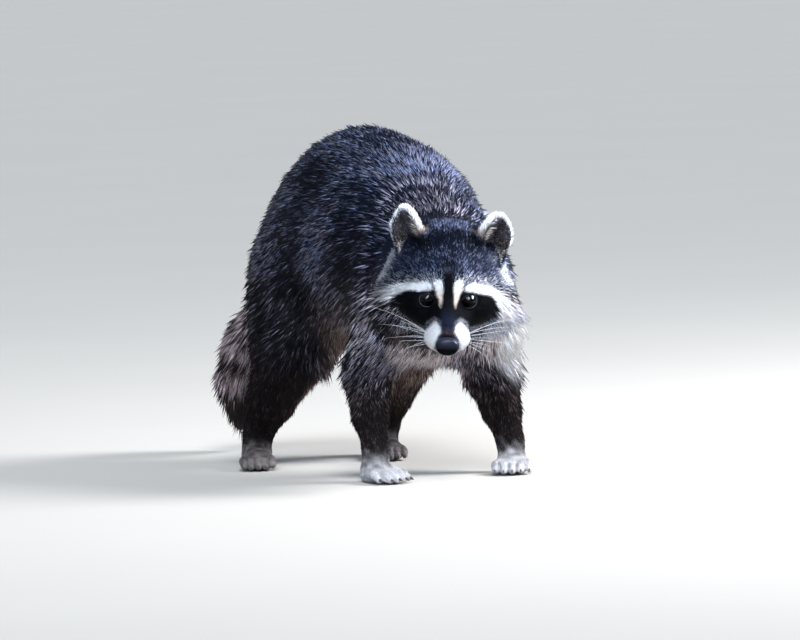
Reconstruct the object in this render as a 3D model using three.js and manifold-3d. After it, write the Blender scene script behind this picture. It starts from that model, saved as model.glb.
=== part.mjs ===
// A raccoon standing on all fours with an arched back, its head low and turned to its right.
// Millimetres, +Z up. The animal faces -Y and its left side is +X. While it is modelled, the forefeet
// stand at y = 0 on the floor z = 0. At the end the group moves so that the origin is the centre of
// the bounding box's base. Every solid gives the outline of the coat, not of the skin under it.
import * as THREE from 'three';
import { SimplifyModifier } from 'three/addons/modifiers/SimplifyModifier.js';
import { mergeVertices } from 'three/addons/utils/BufferGeometryUtils.js';
import Module from 'manifold-3d';

const wasm = await Module();
wasm.setup();

// ---- driving dimensions ----
const GAP = 0.3; // clearance between neighbouring pieces
const FAR = 900; // half-size of a box that stands in for a half-space

// Each skin is made on a fine grid and thinned to about this many triangles.
const BODY_MESH = { cell: 12.5, triangles: 2260 };
const HEAD_MESH = { cell: 6.5, triangles: 1620 };
const LIMB_MESH = { cell: 3.8, triangles: 528 };
const BODY_BOX = new THREE.Box3(new THREE.Vector3(-170, -200, -30), new THREE.Vector3(170, 480, 390));
const HEAD_BOX = new THREE.Box3(new THREE.Vector3(-170, -230, 60), new THREE.Vector3(110, 110, 320));
const LIMB_BOX = { reach: 90, low: -24, high: 110 }; // round the middle of the paw's sole

// How softly one part of the body runs into the next: the width of the fillet between them.
const BLENDS = { neck: 40, leg: 24, tail: 22, head: 16, face: 9, joint: 9, palm: 8, toe: 3.5 };

// The trunk: ellipsoids along the arched spine.
const TRUNK = {
  blend: 46,
  masses: [
    { at: [0, 6, 188], radii: [58, 60, 76] }, // chest and withers
    { at: [0, 100, 226], radii: [86, 92, 104] }, // rib cage and belly
    { at: [0, 186, 238], radii: [94, 96, 108] }, // loins, the top of the arch
    { at: [0, 256, 212], radii: [84, 62, 88] }, // rump
  ],
};

// A chain is a row of balls [x, y, z, radius] joined by tapered capsules.
const NECK = { blend: 34, balls: [[0, 12, 204, 62], [-12, -40, 200, 52]] };
const NECK_END = { at: [0, -3, -62], radius: 47 }; // inside the back of the head, in the head's frame
const TAIL = {
  blend: 16,
  balls: [
    [-4, 296, 200, 27],
    [-26, 348, 164, 29],
    [-43, 384, 122, 31],
    [-50, 404, 84, 30],
    [-48, 420, 50, 22],
  ],
};
const LEGS = {
  fore_left: [[45, 8, 160, 40], [61, 30, 110, 29], [66, 14, 64, 18.5], [71, 4, 30, 12.5]],
  fore_right: [[-48, 8, 164, 42], [-69, 34, 112, 25], [-76, 16, 66, 16.5], [-76, 4, 30, 12]],
  hind_left: [[44, 246, 186, 54], [50, 216, 114, 33], [50, 256, 62, 19], [47, 272, 30, 13.5]],
  hind_right: [[-50, 240, 186, 58], [-76, 208, 128, 42], [-91, 240, 68, 23.5], [-100, 260, 30, 13.5]],
};

// A paw's shape: the length of the sole behind the toes, its width and height, and the toes'
// length, radius and distance from each other at the root, the knuckle and the tip.
const FORE_PAW = { sole: 32, width: 30, height: 11, toe: 24, toeRadius: 4.8, spread: [5.4, 8.4, 8.6] };
const HIND_PAW = { sole: 60, width: 28, height: 12, toe: 21, toeRadius: 5, spread: [5, 7.4, 7.5] };

// Each paw's place: the middle of its sole, and the way it points, in degrees from -Y towards the
// animal's left.
const PAWS = {
  fore_left: { at: [66, -9], turn: -24, shape: FORE_PAW },
  fore_right: { at: [-79, -9], turn: 6, shape: FORE_PAW },
  hind_left: { at: [36, 244], turn: -17, shape: HIND_PAW },
  hind_right: { at: [-110, 237], turn: -21, shape: HIND_PAW },
};
const TOES = [-2, -1, 0, 1, 2];
const TOE_STEP = 2.2; // how much further back each toe ends than the one nearer the middle
const ANKLE_HEIGHT = 27; // where a paw's node ends and the leg's begins
const CLAW = { length: 11, radius: 1.9, depth: 1.25, droop: 2.6, sunk: 4, lift: 1 };

// The head's own frame: a to the animal's left, b up, c forwards, from midway between the eyes.
const HEAD = { at: [-38, -102, 184.5], yaw: -23, pitch: 10, roll: -4 };
const EYE = { aside: 19.8, forward: 0.5, radius: 8.6 };
const ORBIT = { at: [21.5, 0.5, 14], radii: [11, 8.5, 10], blend: 6 };
const SKULL = {
  blend: 13,
  masses: [
    { at: [0, 12, -48], radii: [46, 38, 50] }, // crown
    { at: [0, 9, -18], radii: [33, 20, 25] }, // forehead
    { at: [25, -9, -24], radii: [25, 20, 29], mirrored: true }, // cheek bones
    { at: [41, -14, -50], radii: [31, 31, 34], mirrored: true }, // cheek ruff
    { at: [0, -31, -16], radii: [24, 16, 38] }, // lower jaw
    { at: [9.5, -33, 30], radii: [11, 10.5, 16], mirrored: true }, // whisker pads
  ],
};
const MUZZLE = { blend: 10, balls: [[0, -9, -6, 20], [0, -23, 22, 16], [0, -31, 42, 11.5]] };
const CHIN = { blend: 7, balls: [[0, -38, 4, 12], [0, -42, 31, 7]] };
const NOSE = { at: [0, -33, 51], radii: [12.5, 10.2, 9] };
const EARS = {
  left: { at: [44, 52, -44], lean: 9, turn: 16, tilt: -8 },
  right: { at: [-40, 54, -44], lean: -5, turn: -14, tilt: -8 },
};
const EAR = { halfWidth: 19, halfHeight: 31, halfDepth: 13, wall: 3.2, openAhead: 6.5 };

// Where the head, neck, tail and legs part from the trunk.
const HEAD_CUT = { ahead: -66, slope: 12 }; // plane behind the ears, in the head's frame
const NECK_CUT = { at: [-6, -18, 215], normal: [-0.3, -1, 0.5] };
const TAIL_CUT = { at: [-6, 308, 190], normal: [-0.1, 1, -0.12] };
const TAIL_JOINT = { at: [-40, 376, 132], normal: [-0.3, 0.6, -0.75] };
const LEG_DOMES = {
  fore_left: { at: [78, 14, 40], radii: [56, 62, 142] },
  fore_right: { at: [-80, 14, 40], radii: [56, 62, 142] },
  hind_left: { at: [64, 236, 44], radii: [54, 86, 160] },
  hind_right: { at: [-98, 236, 44], radii: [72, 86, 160] },
};
const KNEE_HEIGHT = { fore: 88, hind: 84 }; // where the upper leg parts from the lower one

// ---- distance fields ----
const vec = (p) => new THREE.Vector3(...p);

function ellipsoid(at, radii) {
  const [cx, cy, cz] = at;
  const [rx, ry, rz] = radii;
  return (x, y, z) => {
    const px = (x - cx) / rx;
    const py = (y - cy) / ry;
    const pz = (z - cz) / rz;
    const scaled = Math.hypot(px, py, pz);
    const slope = Math.hypot(px / rx, py / ry, pz / rz);
    return slope < 1e-9 ? -Math.min(rx, ry, rz) : (scaled * (scaled - 1)) / slope;
  };
}

function taperedCapsule([ax, ay, az, ar], [bx, by, bz, br]) {
  const dx = bx - ax;
  const dy = by - ay;
  const dz = bz - az;
  const lengthSquared = dx * dx + dy * dy + dz * dz;
  return (x, y, z) => {
    const along = ((x - ax) * dx + (y - ay) * dy + (z - az) * dz) / lengthSquared;
    const t = Math.min(1, Math.max(0, along));
    const away = Math.hypot(x - ax - t * dx, y - ay - t * dy, z - az - t * dz);
    return away - ar - t * (br - ar);
  };
}

function smoothMin(a, b, blend) {
  const near = Math.max(blend - Math.abs(a - b), 0) / blend;
  return Math.min(a, b) - near * near * blend * 0.25;
}

const smoothCut = (a, b, blend) => -smoothMin(-a, b, blend);

function union(fields, blend) {
  return (x, y, z) => fields.reduce((d, f) => smoothMin(d, f(x, y, z), blend), 1e6);
}

function chain({ balls, blend }) {
  return union(balls.slice(1).map((ball, i) => taperedCapsule(balls[i], ball)), blend);
}

function masses({ masses: list, blend }) {
  const all = list.flatMap(({ at, radii, mirrored }) =>
    mirrored ? [ellipsoid(at, radii), ellipsoid([-at[0], at[1], at[2]], radii)] : [ellipsoid(at, radii)],
  );
  return union(all, blend);
}

// ---- placing ----
function headMatrix() {
  const yaw = THREE.MathUtils.degToRad(HEAD.yaw);
  const pitch = THREE.MathUtils.degToRad(HEAD.pitch);
  const forward = new THREE.Vector3(
    Math.sin(yaw) * Math.cos(pitch),
    -Math.cos(yaw) * Math.cos(pitch),
    -Math.sin(pitch),
  );
  const left = new THREE.Vector3(Math.cos(yaw), Math.sin(yaw), 0);
  left.applyAxisAngle(forward, THREE.MathUtils.degToRad(HEAD.roll));
  const up = new THREE.Vector3().crossVectors(forward, left);
  return new THREE.Matrix4().makeBasis(left, up, forward).setPosition(vec(HEAD.at));
}

const headToBody = headMatrix();
const bodyToHead = headToBody.clone().invert();
const fromHead = (p) => vec(p).applyMatrix4(headToBody).toArray();

function inHeadFrame(field) {
  const e = bodyToHead.elements;
  return (x, y, z) =>
    field(
      e[0] * x + e[4] * y + e[8] * z + e[12],
      e[1] * x + e[5] * y + e[9] * z + e[13],
      e[2] * x + e[6] * y + e[10] * z + e[14],
    );
}

// A point of a paw: across to the animal's left, ahead towards the toes, up from the floor.
function pawPoint(paw, across, ahead, up) {
  const turn = THREE.MathUtils.degToRad(paw.turn);
  return [
    paw.at[0] + across * Math.cos(turn) + ahead * Math.sin(turn),
    paw.at[1] + across * Math.sin(turn) - ahead * Math.cos(turn),
    up,
  ];
}

// The middle toe reaches furthest, and the outer ones fan out beside it.
function toeLine(paw, toe) {
  const { sole, toe: length, toeRadius, spread } = paw.shape;
  const front = sole / 2 - TOE_STEP * toe * toe;
  const root = pawPoint(paw, toe * spread[0], front - 7, 9);
  const knuckle = pawPoint(paw, toe * spread[1], front + length * 0.4, 10);
  const tip = pawPoint(paw, toe * spread[2], front + length, toeRadius * 0.9);
  return { root: [...root, toeRadius], knuckle: [...knuckle, toeRadius], tip: [...tip, toeRadius * 0.86] };
}

function limbField(name) {
  const paw = PAWS[name];
  const { sole, width, height } = paw.shape;
  const heel = pawPoint(paw, 0, -sole / 2 + height * 0.6, height - 3);
  const ball = pawPoint(paw, 0, sole / 2 - width * 0.38, height - 4);
  const pads = [-1, 1].map((side) =>
    taperedCapsule([...heel, height], [...pawPoint(paw, side * width * 0.24, sole / 2 - 9, 8), 9.5]),
  );
  const palm = union([...pads, taperedCapsule([...heel, height], [...ball, height * 0.85])], BLENDS.palm);
  const toes = TOES.map((toe) => {
    const { root, knuckle, tip } = toeLine(paw, toe);
    return chain({ balls: [root, knuckle, tip], blend: 2 });
  });
  const allToes = (x, y, z) => Math.min(...toes.map((field) => field(x, y, z)));
  const ankle = taperedCapsule(LEGS[name].at(-1), [...heel.slice(0, 2), height, height]);
  const limb = union([chain({ balls: LEGS[name], blend: BLENDS.joint }), ankle, palm], BLENDS.joint);
  return union([limb, allToes], BLENDS.toe);
}

// ---- the three skins that are cut into nodes ----
const skull = union([masses(SKULL), chain(MUZZLE), chain(CHIN)], BLENDS.face);
const orbit = ellipsoid(ORBIT.at, ORBIT.radii);
const headCore = inHeadFrame((a, b, c) => smoothCut(skull(a, b, c), orbit(Math.abs(a), b, c), ORBIT.blend));
const neckEnd = [...fromHead(NECK_END.at), NECK_END.radius];
const neck = chain({ blend: NECK.blend, balls: [...NECK.balls, neckEnd] });
const trunk = masses(TRUNK);
const tail = chain(TAIL);
const legs = Object.values(LEGS).map((balls) => chain({ balls, blend: BLENDS.joint }));
const trunkAndNeck = union([trunk, neck], BLENDS.neck);
const trunkAndLegs = union([trunkAndNeck, ...legs], BLENDS.leg);
const bodyField = union([union([trunkAndLegs, tail], BLENDS.tail), headCore], BLENDS.head);
const headField = union([neck, headCore], BLENDS.head);

// ---- from a field to a mesh ----
// A grid face whose inside corners lie on one diagonal would make two sheets share an edge, so one
// of its outside corners joins them.
function joinDiagonals(value, [nx, ny], cell) {
  const layer = nx * ny;
  let changed = true;
  while (changed) {
    changed = false;
    for (const [u, w] of [[1, nx], [nx, layer], [layer, 1]])
      for (let n = 0; n + u + w < value.length; n++) {
        const inside = value[n] < 0;
        if (inside !== value[n + u + w] < 0 || value[n + u] < 0 !== value[n + w] < 0) continue;
        if (inside === value[n + u] < 0) continue;
        value[inside ? n + u : n] = -0.05 * cell;
        changed = true;
      }
  }
}

// A grid cell's twelve edges, each from a corner one step along an axis.
const STEPS = [[1, 0, 0], [0, 1, 0], [0, 0, 1]];
const CELL_EDGES = STEPS.flatMap((step, axis) =>
  [[0, 0], [1, 0], [0, 1], [1, 1]].map((others) => {
    const from = [0, 0, 0];
    [from[(axis + 1) % 3], from[(axis + 2) % 3]] = others;
    return [from, from.map((c, i) => c + step[i])];
  }),
);

// The field at each grid point. The outermost points count as outside, so the surface closes there.
function sampleGrid(field, box, cell) {
  const size = box.getSize(new THREE.Vector3());
  const counts = size.toArray().map((s) => Math.ceil(s / cell) + 1);
  const [nx, ny, nz] = counts;
  const index = (i, j, k) => i + nx * (j + ny * k);
  const value = new Float32Array(nx * ny * nz);
  for (let k = 0; k < nz; k++)
    for (let j = 0; j < ny; j++)
      for (let i = 0; i < nx; i++) {
        const rim = [i, j, k].some((n, axis) => n === 0 || n === counts[axis] - 1);
        const [x, y, z] = [box.min.x + i * cell, box.min.y + j * cell, box.min.z + k * cell];
        value[index(i, j, k)] = rim ? cell : field(x, y, z);
      }
  joinDiagonals(value, counts, cell);
  return { value, counts, index, inside: (i, j, k) => value[index(i, j, k)] < 0 };
}

// The mean of the points where the surface crosses a cell's edges, in cells from its corner.
function cellVertex({ value, index }, i, j, k) {
  const sum = [0, 0, 0];
  let crossings = 0;
  for (const [a, b] of CELL_EDGES) {
    const va = value[index(i + a[0], j + a[1], k + a[2])];
    const vb = value[index(i + b[0], j + b[1], k + b[2])];
    if (va < 0 === vb < 0) continue;
    const t = va / (va - vb);
    crossings++;
    for (let axis = 0; axis < 3; axis++) sum[axis] += a[axis] + t * (b[axis] - a[axis]);
  }
  return crossings ? sum.map((s) => s / crossings) : null;
}

// Surface nets: one vertex in each grid cell that the surface crosses, and one quad around each
// grid edge that it crosses. The fine mesh is then thinned.
async function surfaceNet(field, box, { cell, triangles }) {
  const grid = sampleGrid(field, box, cell);
  const [nx, ny, nz] = grid.counts;
  const vertexOf = new Map();
  const positions = [];
  for (let k = 0; k < nz - 1; k++)
    for (let j = 0; j < ny - 1; j++)
      for (let i = 0; i < nx - 1; i++) {
        const vertex = cellVertex(grid, i, j, k);
        if (!vertex) continue;
        vertexOf.set(grid.index(i, j, k), positions.length / 3);
        const low = box.min.toArray();
        positions.push(...vertex.map((v, axis) => low[axis] + ([i, j, k][axis] + v) * cell));
      }
  const faces = [];
  for (let k = 1; k < nz - 1; k++)
    for (let j = 1; j < ny - 1; j++)
      for (let i = 1; i < nx - 1; i++)
        STEPS.forEach((step, axis) => {
          const inside = grid.inside(i, j, k);
          if (inside === grid.inside(i + step[0], j + step[1], k + step[2])) return;
          const u = STEPS[(axis + 1) % 3];
          const w = STEPS[(axis + 2) % 3];
          const [a, b, c, d] = [[0, 0], [1, 0], [1, 1], [0, 1]].map(([p, q]) =>
            vertexOf.get(grid.index(i - p * u[0] - q * w[0], j - p * u[1] - q * w[1], k - p * u[2] - q * w[2])),
          );
          faces.push(...(inside ? [a, b, c, a, c, d] : [a, c, b, a, d, c]));
        });
  const geometry = new THREE.BufferGeometry();
  geometry.setAttribute('position', new THREE.Float32BufferAttribute(positions, 3));
  geometry.setIndex(faces);
  const spare = Math.max(0, (faces.length / 3 - triangles) / 2);
  return new SimplifyModifier().modify(geometry, Math.round(spare));
}

// ---- solids ----
function solidOf(geometry) {
  const bare = geometry.clone();
  for (const name of ['normal', 'uv']) bare.deleteAttribute(name);
  const merged = mergeVertices(bare, 1e-4);
  return new wasm.Manifold(
    new wasm.Mesh({
      numProp: 3,
      vertProperties: new Float32Array(merged.attributes.position.array),
      triVerts: new Uint32Array(merged.index.array),
    }),
  );
}

function geometryOf(solid) {
  const mesh = solid.getMesh();
  const geometry = new THREE.BufferGeometry();
  geometry.setAttribute('position', new THREE.BufferAttribute(new Float32Array(mesh.vertProperties), 3));
  return geometry.setIndex(new THREE.BufferAttribute(new Uint32Array(mesh.triVerts), 1));
}

const largest = (solid) => solid.decompose().sort((a, b) => b.volume() - a.volume())[0];

// Everything on the side of the plane that its normal points to, from `shift` past the plane.
function halfSpace(at, normal, shift) {
  const direction = vec(normal).normalize();
  const geometry = new THREE.BoxGeometry(2 * FAR, 2 * FAR, 2 * FAR).translate(0, 0, FAR + shift);
  geometry.applyQuaternion(new THREE.Quaternion().setFromUnitVectors(new THREE.Vector3(0, 0, 1), direction));
  return solidOf(geometry.translate(...at));
}

// Parts a solid at a plane into [the side the normal points to, the other side], a gap apart.
function partAt(solid, { at, normal }) {
  const beyond = solid.intersect(halfSpace(at, normal, GAP / 2));
  const rest = solid.subtract(halfSpace(at, normal, -GAP / 2));
  return [beyond, rest];
}

function dome({ at, radii }, grow) {
  const geometry = new THREE.SphereGeometry(1, 12, 10).rotateX(Math.PI / 2);
  return solidOf(geometry.scale(...radii.map((r) => r + grow)).translate(...at));
}

// ---- nodes ----
const COLOURS = {
  coat: [0x4b4744, 0.95],
  dark: [0x231f1e, 0.95],
  pale: [0xb5b0aa, 0.9],
  paw: [0xa9a7a6, 0.85],
  eye: [0x120d0b, 0.08],
  nose: [0x17161a, 0.35],
  claw: [0x2b2522, 0.4],
};
const raccoon = new THREE.Group();

function addNode(name, solid, finish) {
  const [color, roughness] = COLOURS[finish];
  const material = new THREE.MeshStandardMaterial({ color, roughness, metalness: 0 });
  const mesh = new THREE.Mesh(geometryOf(solid), material);
  mesh.name = name;
  raccoon.add(mesh);
}

const aboveFloor = halfSpace([0, 0, 0], [0, 0, 1], 0);
const bodySolid = solidOf(await surfaceNet(bodyField, BODY_BOX, BODY_MESH));
const headSolid = solidOf(await surfaceNet(headField, HEAD_BOX, HEAD_MESH));

const headCut = {
  at: fromHead([0, 0, HEAD_CUT.ahead]),
  normal: vec([0, Math.sin(THREE.MathUtils.degToRad(HEAD_CUT.slope)), 1])
    .transformDirection(headToBody)
    .toArray(),
};

function eyeSolid(side, grow) {
  const at = fromHead([side * EYE.aside, 0, EYE.forward]);
  return solidOf(new THREE.SphereGeometry(EYE.radius + grow, 12, 8).translate(...at));
}

function noseSolid(grow) {
  const geometry = new THREE.SphereGeometry(1, 12, 8).scale(...NOSE.radii.map((r) => r + grow));
  return solidOf(geometry.translate(...NOSE.at).applyMatrix4(headToBody));
}

// An ear is a shell: a flattened ball, hollowed by a smaller one set ahead of it.
function earSolid({ at, lean, turn, tilt }) {
  const { halfWidth, halfHeight, halfDepth, wall, openAhead } = EAR;
  const ball = (inset) =>
    new THREE.SphereGeometry(1, 12, 8).scale(halfWidth - inset, halfHeight - inset, halfDepth - inset * 0.4);
  const shell = solidOf(ball(0)).subtract(solidOf(ball(wall).translate(0, 0, openAhead)));
  const turned = new THREE.Euler(
    THREE.MathUtils.degToRad(tilt),
    THREE.MathUtils.degToRad(turn),
    THREE.MathUtils.degToRad(-lean),
  );
  const geometry = geometryOf(shell).applyMatrix4(new THREE.Matrix4().makeRotationFromEuler(turned));
  return geometry.translate(...at);
}

function buildHead() {
  let [head] = partAt(headSolid, headCut);
  head = largest(head);
  for (const [name, ear] of Object.entries(EARS)) {
    const lifted = earSolid(ear).translate(0, GAP, 0).applyMatrix4(headToBody);
    addNode(`ear_${name}`, largest(solidOf(lifted).subtract(head)), 'pale');
  }
  addNode('nose', noseSolid(0), 'nose');
  head = head.subtract(noseSolid(GAP));
  for (const [name, side] of [['left', 1], ['right', -1]]) {
    addNode(`eye_${name}`, eyeSolid(side, 0), 'eye');
    head = head.subtract(eyeSolid(side, GAP));
  }
  addNode('head', largest(head), 'coat');
}

const kneeOf = (name) => ({ at: [0, 0, KNEE_HEIGHT[name.split('_')[0]]], normal: [0, 0, 1] });

async function buildLowerLimb(name) {
  const [x, y] = PAWS[name].at;
  const { reach, low, high } = LIMB_BOX;
  const near = new THREE.Box3(vec([x - reach, y - reach, low]), vec([x + reach, y + reach, high]));
  const whole = solidOf(await surfaceNet(limbField(name), near, LIMB_MESH)).intersect(aboveFloor);
  const [, belowKnee] = partAt(whole, kneeOf(name));
  const [shin, foot] = partAt(belowKnee, { at: [0, 0, ANKLE_HEIGHT], normal: [0, 0, 1] });
  const paw = largest(foot);
  addNode(`lower_leg_${name}`, largest(shin), 'dark');
  addNode(`paw_${name}`, paw, 'paw');
  TOES.forEach((toe, i) => addNode(`claw_${name}_${i + 1}`, clawSolid(PAWS[name], toe, paw), 'claw'));
}

// A claw grows out of the toe's tip and droops to just above the floor.
function clawSolid(paw, toe, pawSolid) {
  const { knuckle, tip } = toeLine(paw, toe);
  const heading = vec(tip).sub(vec(knuckle)).setZ(0).normalize();
  const cone = new THREE.ConeGeometry(CLAW.radius, CLAW.length, 6, 2).translate(0, CLAW.length / 2, 0);
  const points = cone.attributes.position;
  for (let i = 0; i < points.count; i++) {
    const along = points.getY(i) / CLAW.length;
    points.setZ(i, points.getZ(i) * CLAW.depth - CLAW.droop * along * along);
  }
  const turn = Math.atan2(-heading.x, heading.y);
  const start = vec(tip).addScaledVector(heading, tip[3] - CLAW.sunk);
  cone.rotateZ(turn).translate(start.x, start.y, tip[2] + CLAW.lift);
  const ahead = pawSolid.translate([heading.x * GAP, heading.y * GAP, 0]);
  return largest(solidOf(cone).subtract(pawSolid).subtract(ahead));
}

function buildLeg(name, body) {
  const [upper] = partAt(body.intersect(dome(LEG_DOMES[name], 0)), kneeOf(name));
  addNode(`upper_leg_${name}`, largest(upper), 'coat');
  return body.subtract(dome(LEG_DOMES[name], GAP));
}

function buildBody() {
  const [, headless] = partAt(bodySolid, headCut);
  const [tailWhole, tailless] = partAt(largest(headless), TAIL_CUT);
  const [tailEnd, tailBase] = partAt(largest(tailWhole), TAIL_JOINT);
  addNode('tail_base', largest(tailBase), 'coat');
  addNode('tail_end', largest(tailEnd), 'dark');
  const [neckPart, bodyPart] = partAt(tailless, NECK_CUT);
  addNode('neck', largest(neckPart), 'coat');
  const trunkPart = Object.keys(LEGS).reduce((body, name) => buildLeg(name, body), bodyPart);
  addNode('trunk', largest(trunkPart), 'coat');
}

buildHead();
buildBody();
for (const name of Object.keys(PAWS)) await buildLowerLimb(name);

// ---- the origin: the centre of the base of the bounding box ----
const bounds = new THREE.Box3().setFromObject(raccoon);
const centre = bounds.getCenter(new THREE.Vector3());
raccoon.position.set(-centre.x, -centre.y, -bounds.min.z);

export default raccoon;
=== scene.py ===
import math
import time
import bpy
import numpy as np
from mathutils import Matrix, Vector
from mathutils.bvhtree import BVHTree
from mathutils.kdtree import KDTree


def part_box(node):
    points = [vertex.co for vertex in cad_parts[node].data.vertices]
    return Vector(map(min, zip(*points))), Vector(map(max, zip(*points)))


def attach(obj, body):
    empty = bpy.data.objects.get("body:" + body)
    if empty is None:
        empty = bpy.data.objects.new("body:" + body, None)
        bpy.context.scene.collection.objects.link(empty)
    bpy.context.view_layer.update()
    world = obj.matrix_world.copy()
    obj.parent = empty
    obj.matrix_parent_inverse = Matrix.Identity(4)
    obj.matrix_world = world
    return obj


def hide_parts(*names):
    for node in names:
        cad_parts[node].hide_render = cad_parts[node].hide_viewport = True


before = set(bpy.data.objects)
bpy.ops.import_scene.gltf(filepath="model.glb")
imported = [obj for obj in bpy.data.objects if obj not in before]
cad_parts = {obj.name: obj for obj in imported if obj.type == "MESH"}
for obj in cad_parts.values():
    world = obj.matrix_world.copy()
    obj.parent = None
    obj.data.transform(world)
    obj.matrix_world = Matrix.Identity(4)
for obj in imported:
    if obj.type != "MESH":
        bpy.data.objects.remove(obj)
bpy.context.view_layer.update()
started = time.time()


def report(stage):
    print(f"{stage} ({time.time() - started:.0f} s)")


# small helpers for arrays
def unit(v):
    v = np.asarray(v, float)
    return v / np.maximum(np.linalg.norm(v, axis=-1, keepdims=True), 1e-12)


def ramp(x, low, high):
    t = np.clip((np.asarray(x, float) - low) / (high - low), 0, 1)
    return t * t * (3 - 2 * t)


def mix(a, b, share):
    share = np.asarray(share, float)
    return a + (b - a) * (share[:, None] if share.ndim else share)


def dot(a, b):
    return (a * b).sum(-1)


# A smooth random field of about unit spread, whose lumps are about that size.
def waves(points, size, seed, count=14):
    maker = np.random.default_rng(seed)
    ways = unit(maker.normal(size=(count, 3))) * (2 * math.pi / size)
    ways *= maker.uniform(0.6, 1.5, (count, 1))
    shifts = maker.uniform(0, 2 * math.pi, count)
    return np.sin(points @ ways.T + shifts).sum(1) / math.sqrt(count / 2)


def selectOnly(*objects):
    bpy.ops.object.select_all(action="DESELECT")
    for obj in objects:
        obj.select_set(True)
    bpy.context.view_layer.objects.active = objects[0]


def pointsOf(mesh):
    co = np.empty(len(mesh.vertices) * 3, np.float32)
    mesh.vertices.foreach_get("co", co)
    return co.reshape(-1, 3).astype(float)


def movePoints(mesh, points):
    mesh.vertices.foreach_set("co", np.asarray(points, np.float32).ravel())
    mesh.update()


def edgesOf(mesh):
    ends = np.empty(len(mesh.edges) * 2, np.int32)
    mesh.edges.foreach_get("vertices", ends)
    return ends.reshape(-1, 2)


def trianglesOf(mesh):
    mesh.calc_loop_triangles()
    corners = np.empty(len(mesh.loop_triangles) * 3, np.int32)
    mesh.loop_triangles.foreach_get("vertices", corners)
    return corners.reshape(-1, 3)


def normalsOf(points, triangles):
    p = points[triangles]
    flat = np.cross(p[:, 1] - p[:, 0], p[:, 2] - p[:, 0])
    total = np.zeros_like(points)
    for corner in range(3):
        for axis in range(3):
            total[:, axis] += np.bincount(triangles[:, corner], flat[:, axis], len(points))
    return unit(total)


# Evens out values over the mesh. share may differ from point to point.
def smoothOver(values, edges, rounds, share=0.5):
    values = np.array(values, float)
    wide = values.reshape(len(values), -1)
    a, b = edges[:, 0], edges[:, 1]
    near = np.maximum(np.bincount(a, minlength=len(wide)) + np.bincount(b, minlength=len(wide)), 1)
    share = np.asarray(share, float)
    for _ in range(rounds):
        for k in range(wide.shape[1]):
            column = wide[:, k]
            total = np.bincount(a, column[b], len(wide)) + np.bincount(b, column[a], len(wide))
            wide[:, k] = column + share * (total / near - column)
    return values


def boxMiddle(node):
    low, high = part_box(node)
    return np.array((low + high) / 2)


# The head's own axes, from the places of the eyes and the nose: side to the animal's left,
# up, and ahead the way the head points.
headPlan = {"noseBelow": 33.0, "noseAhead": 50.5}
eyeMiddle = (boxMiddle("eye_left") + boxMiddle("eye_right")) / 2
headSide = unit(boxMiddle("eye_left") - boxMiddle("eye_right"))
toNose = boxMiddle("nose") - eyeMiddle
toNose = unit(toNose - headSide * dot(toNose, headSide))
noseDip = math.atan2(headPlan["noseBelow"], headPlan["noseAhead"])
headAhead = toNose * math.cos(noseDip) + np.cross(toNose, headSide) * math.sin(noseDip)
headUp = np.cross(headAhead, headSide)
headAxes = np.array([headSide, headUp, headAhead])


# Points in the head's frame, in millimetres.
def toHead(points):
    return (points - eyeMiddle) @ headAxes.T * 1000


def fromHead(points):
    return eyeMiddle + np.asarray(points, float) @ headAxes / 1000


# small helpers for objects
def addObject(name, mesh):
    obj = bpy.data.objects.new(name, mesh)
    bpy.context.scene.collection.objects.link(obj)
    return obj


def addSphere(name, segments, rings, radius, place=(0, 0, 0)):
    bpy.ops.object.select_all(action="DESELECT")
    bpy.ops.mesh.primitive_uv_sphere_add(segments=segments, ring_count=rings, radius=radius, location=place)
    bpy.ops.object.transform_apply(location=True, rotation=True, scale=True)
    bpy.context.object.name = name
    return bpy.context.object


# Uses an edit mode operator on the whole of a mesh.
def editWhole(obj, operator, **settings):
    selectOnly(obj)
    bpy.ops.object.mode_set(mode="EDIT")
    bpy.ops.mesh.select_all(action="SELECT")
    operator(**settings)
    bpy.ops.object.mode_set(mode="OBJECT")


def useModifier(obj, kind, **settings):
    selectOnly(obj)
    modifier = obj.modifiers.new(kind.lower(), kind)
    for key, value in settings.items():
        setattr(modifier, key, value)
    bpy.ops.object.modifier_apply(modifier=modifier.name)


# small helpers for materials
def newMaterial(name):
    material = bpy.data.materials.new(name)
    material.use_nodes = True
    return material, material.node_tree, material.node_tree.nodes["Principled BSDF"]


# Feeds a node's inputs with values, or with the outputs of other nodes.
def feed(tree, node, inputs):
    for name, value in inputs.items():
        if isinstance(value, bpy.types.NodeSocket):
            tree.links.new(value, node.inputs[name])
        else:
            node.inputs[name].default_value = value


def addNode(tree, kind, inputs=None, **settings):
    node = tree.nodes.new("ShaderNode" + kind)
    for name, value in settings.items():
        setattr(node, name, value)
    feed(tree, node, inputs or {})
    return node


# Noise in the object's own place.
def addNoise(tree, scale, detail=2.0):
    place = addNode(tree, "TexCoord").outputs["Object"]
    return addNode(tree, "TexNoise", {"Vector": place, "Scale": scale, "Detail": detail})


# Colours along a value, from stops given as (place, colour).
def addTones(tree, value, stops):
    node = addNode(tree, "ValToRGB", {"Fac": value})
    elements = node.color_ramp.elements
    elements.remove(elements[1])
    elements[0].position, elements[0].color = stops[0][0], (*stops[0][1], 1)
    for place, colour in stops[1:]:
        elements.new(place).color = (*colour, 1)
    return node.outputs["Color"]


def addRange(tree, value, low, high, start=0.0, end=1.0):
    settings = {"Value": value, "From Min": start, "From Max": end, "To Min": low, "To Max": high}
    return addNode(tree, "MapRange", settings).outputs["Result"]


def addMix(tree, blend, share, a, b):
    node = addNode(tree, "Mix", data_type="RGBA", blend_type=blend)
    feed(tree, node, {"Factor": share, "A": a, "B": b})
    return node.outputs["Result"]


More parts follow.
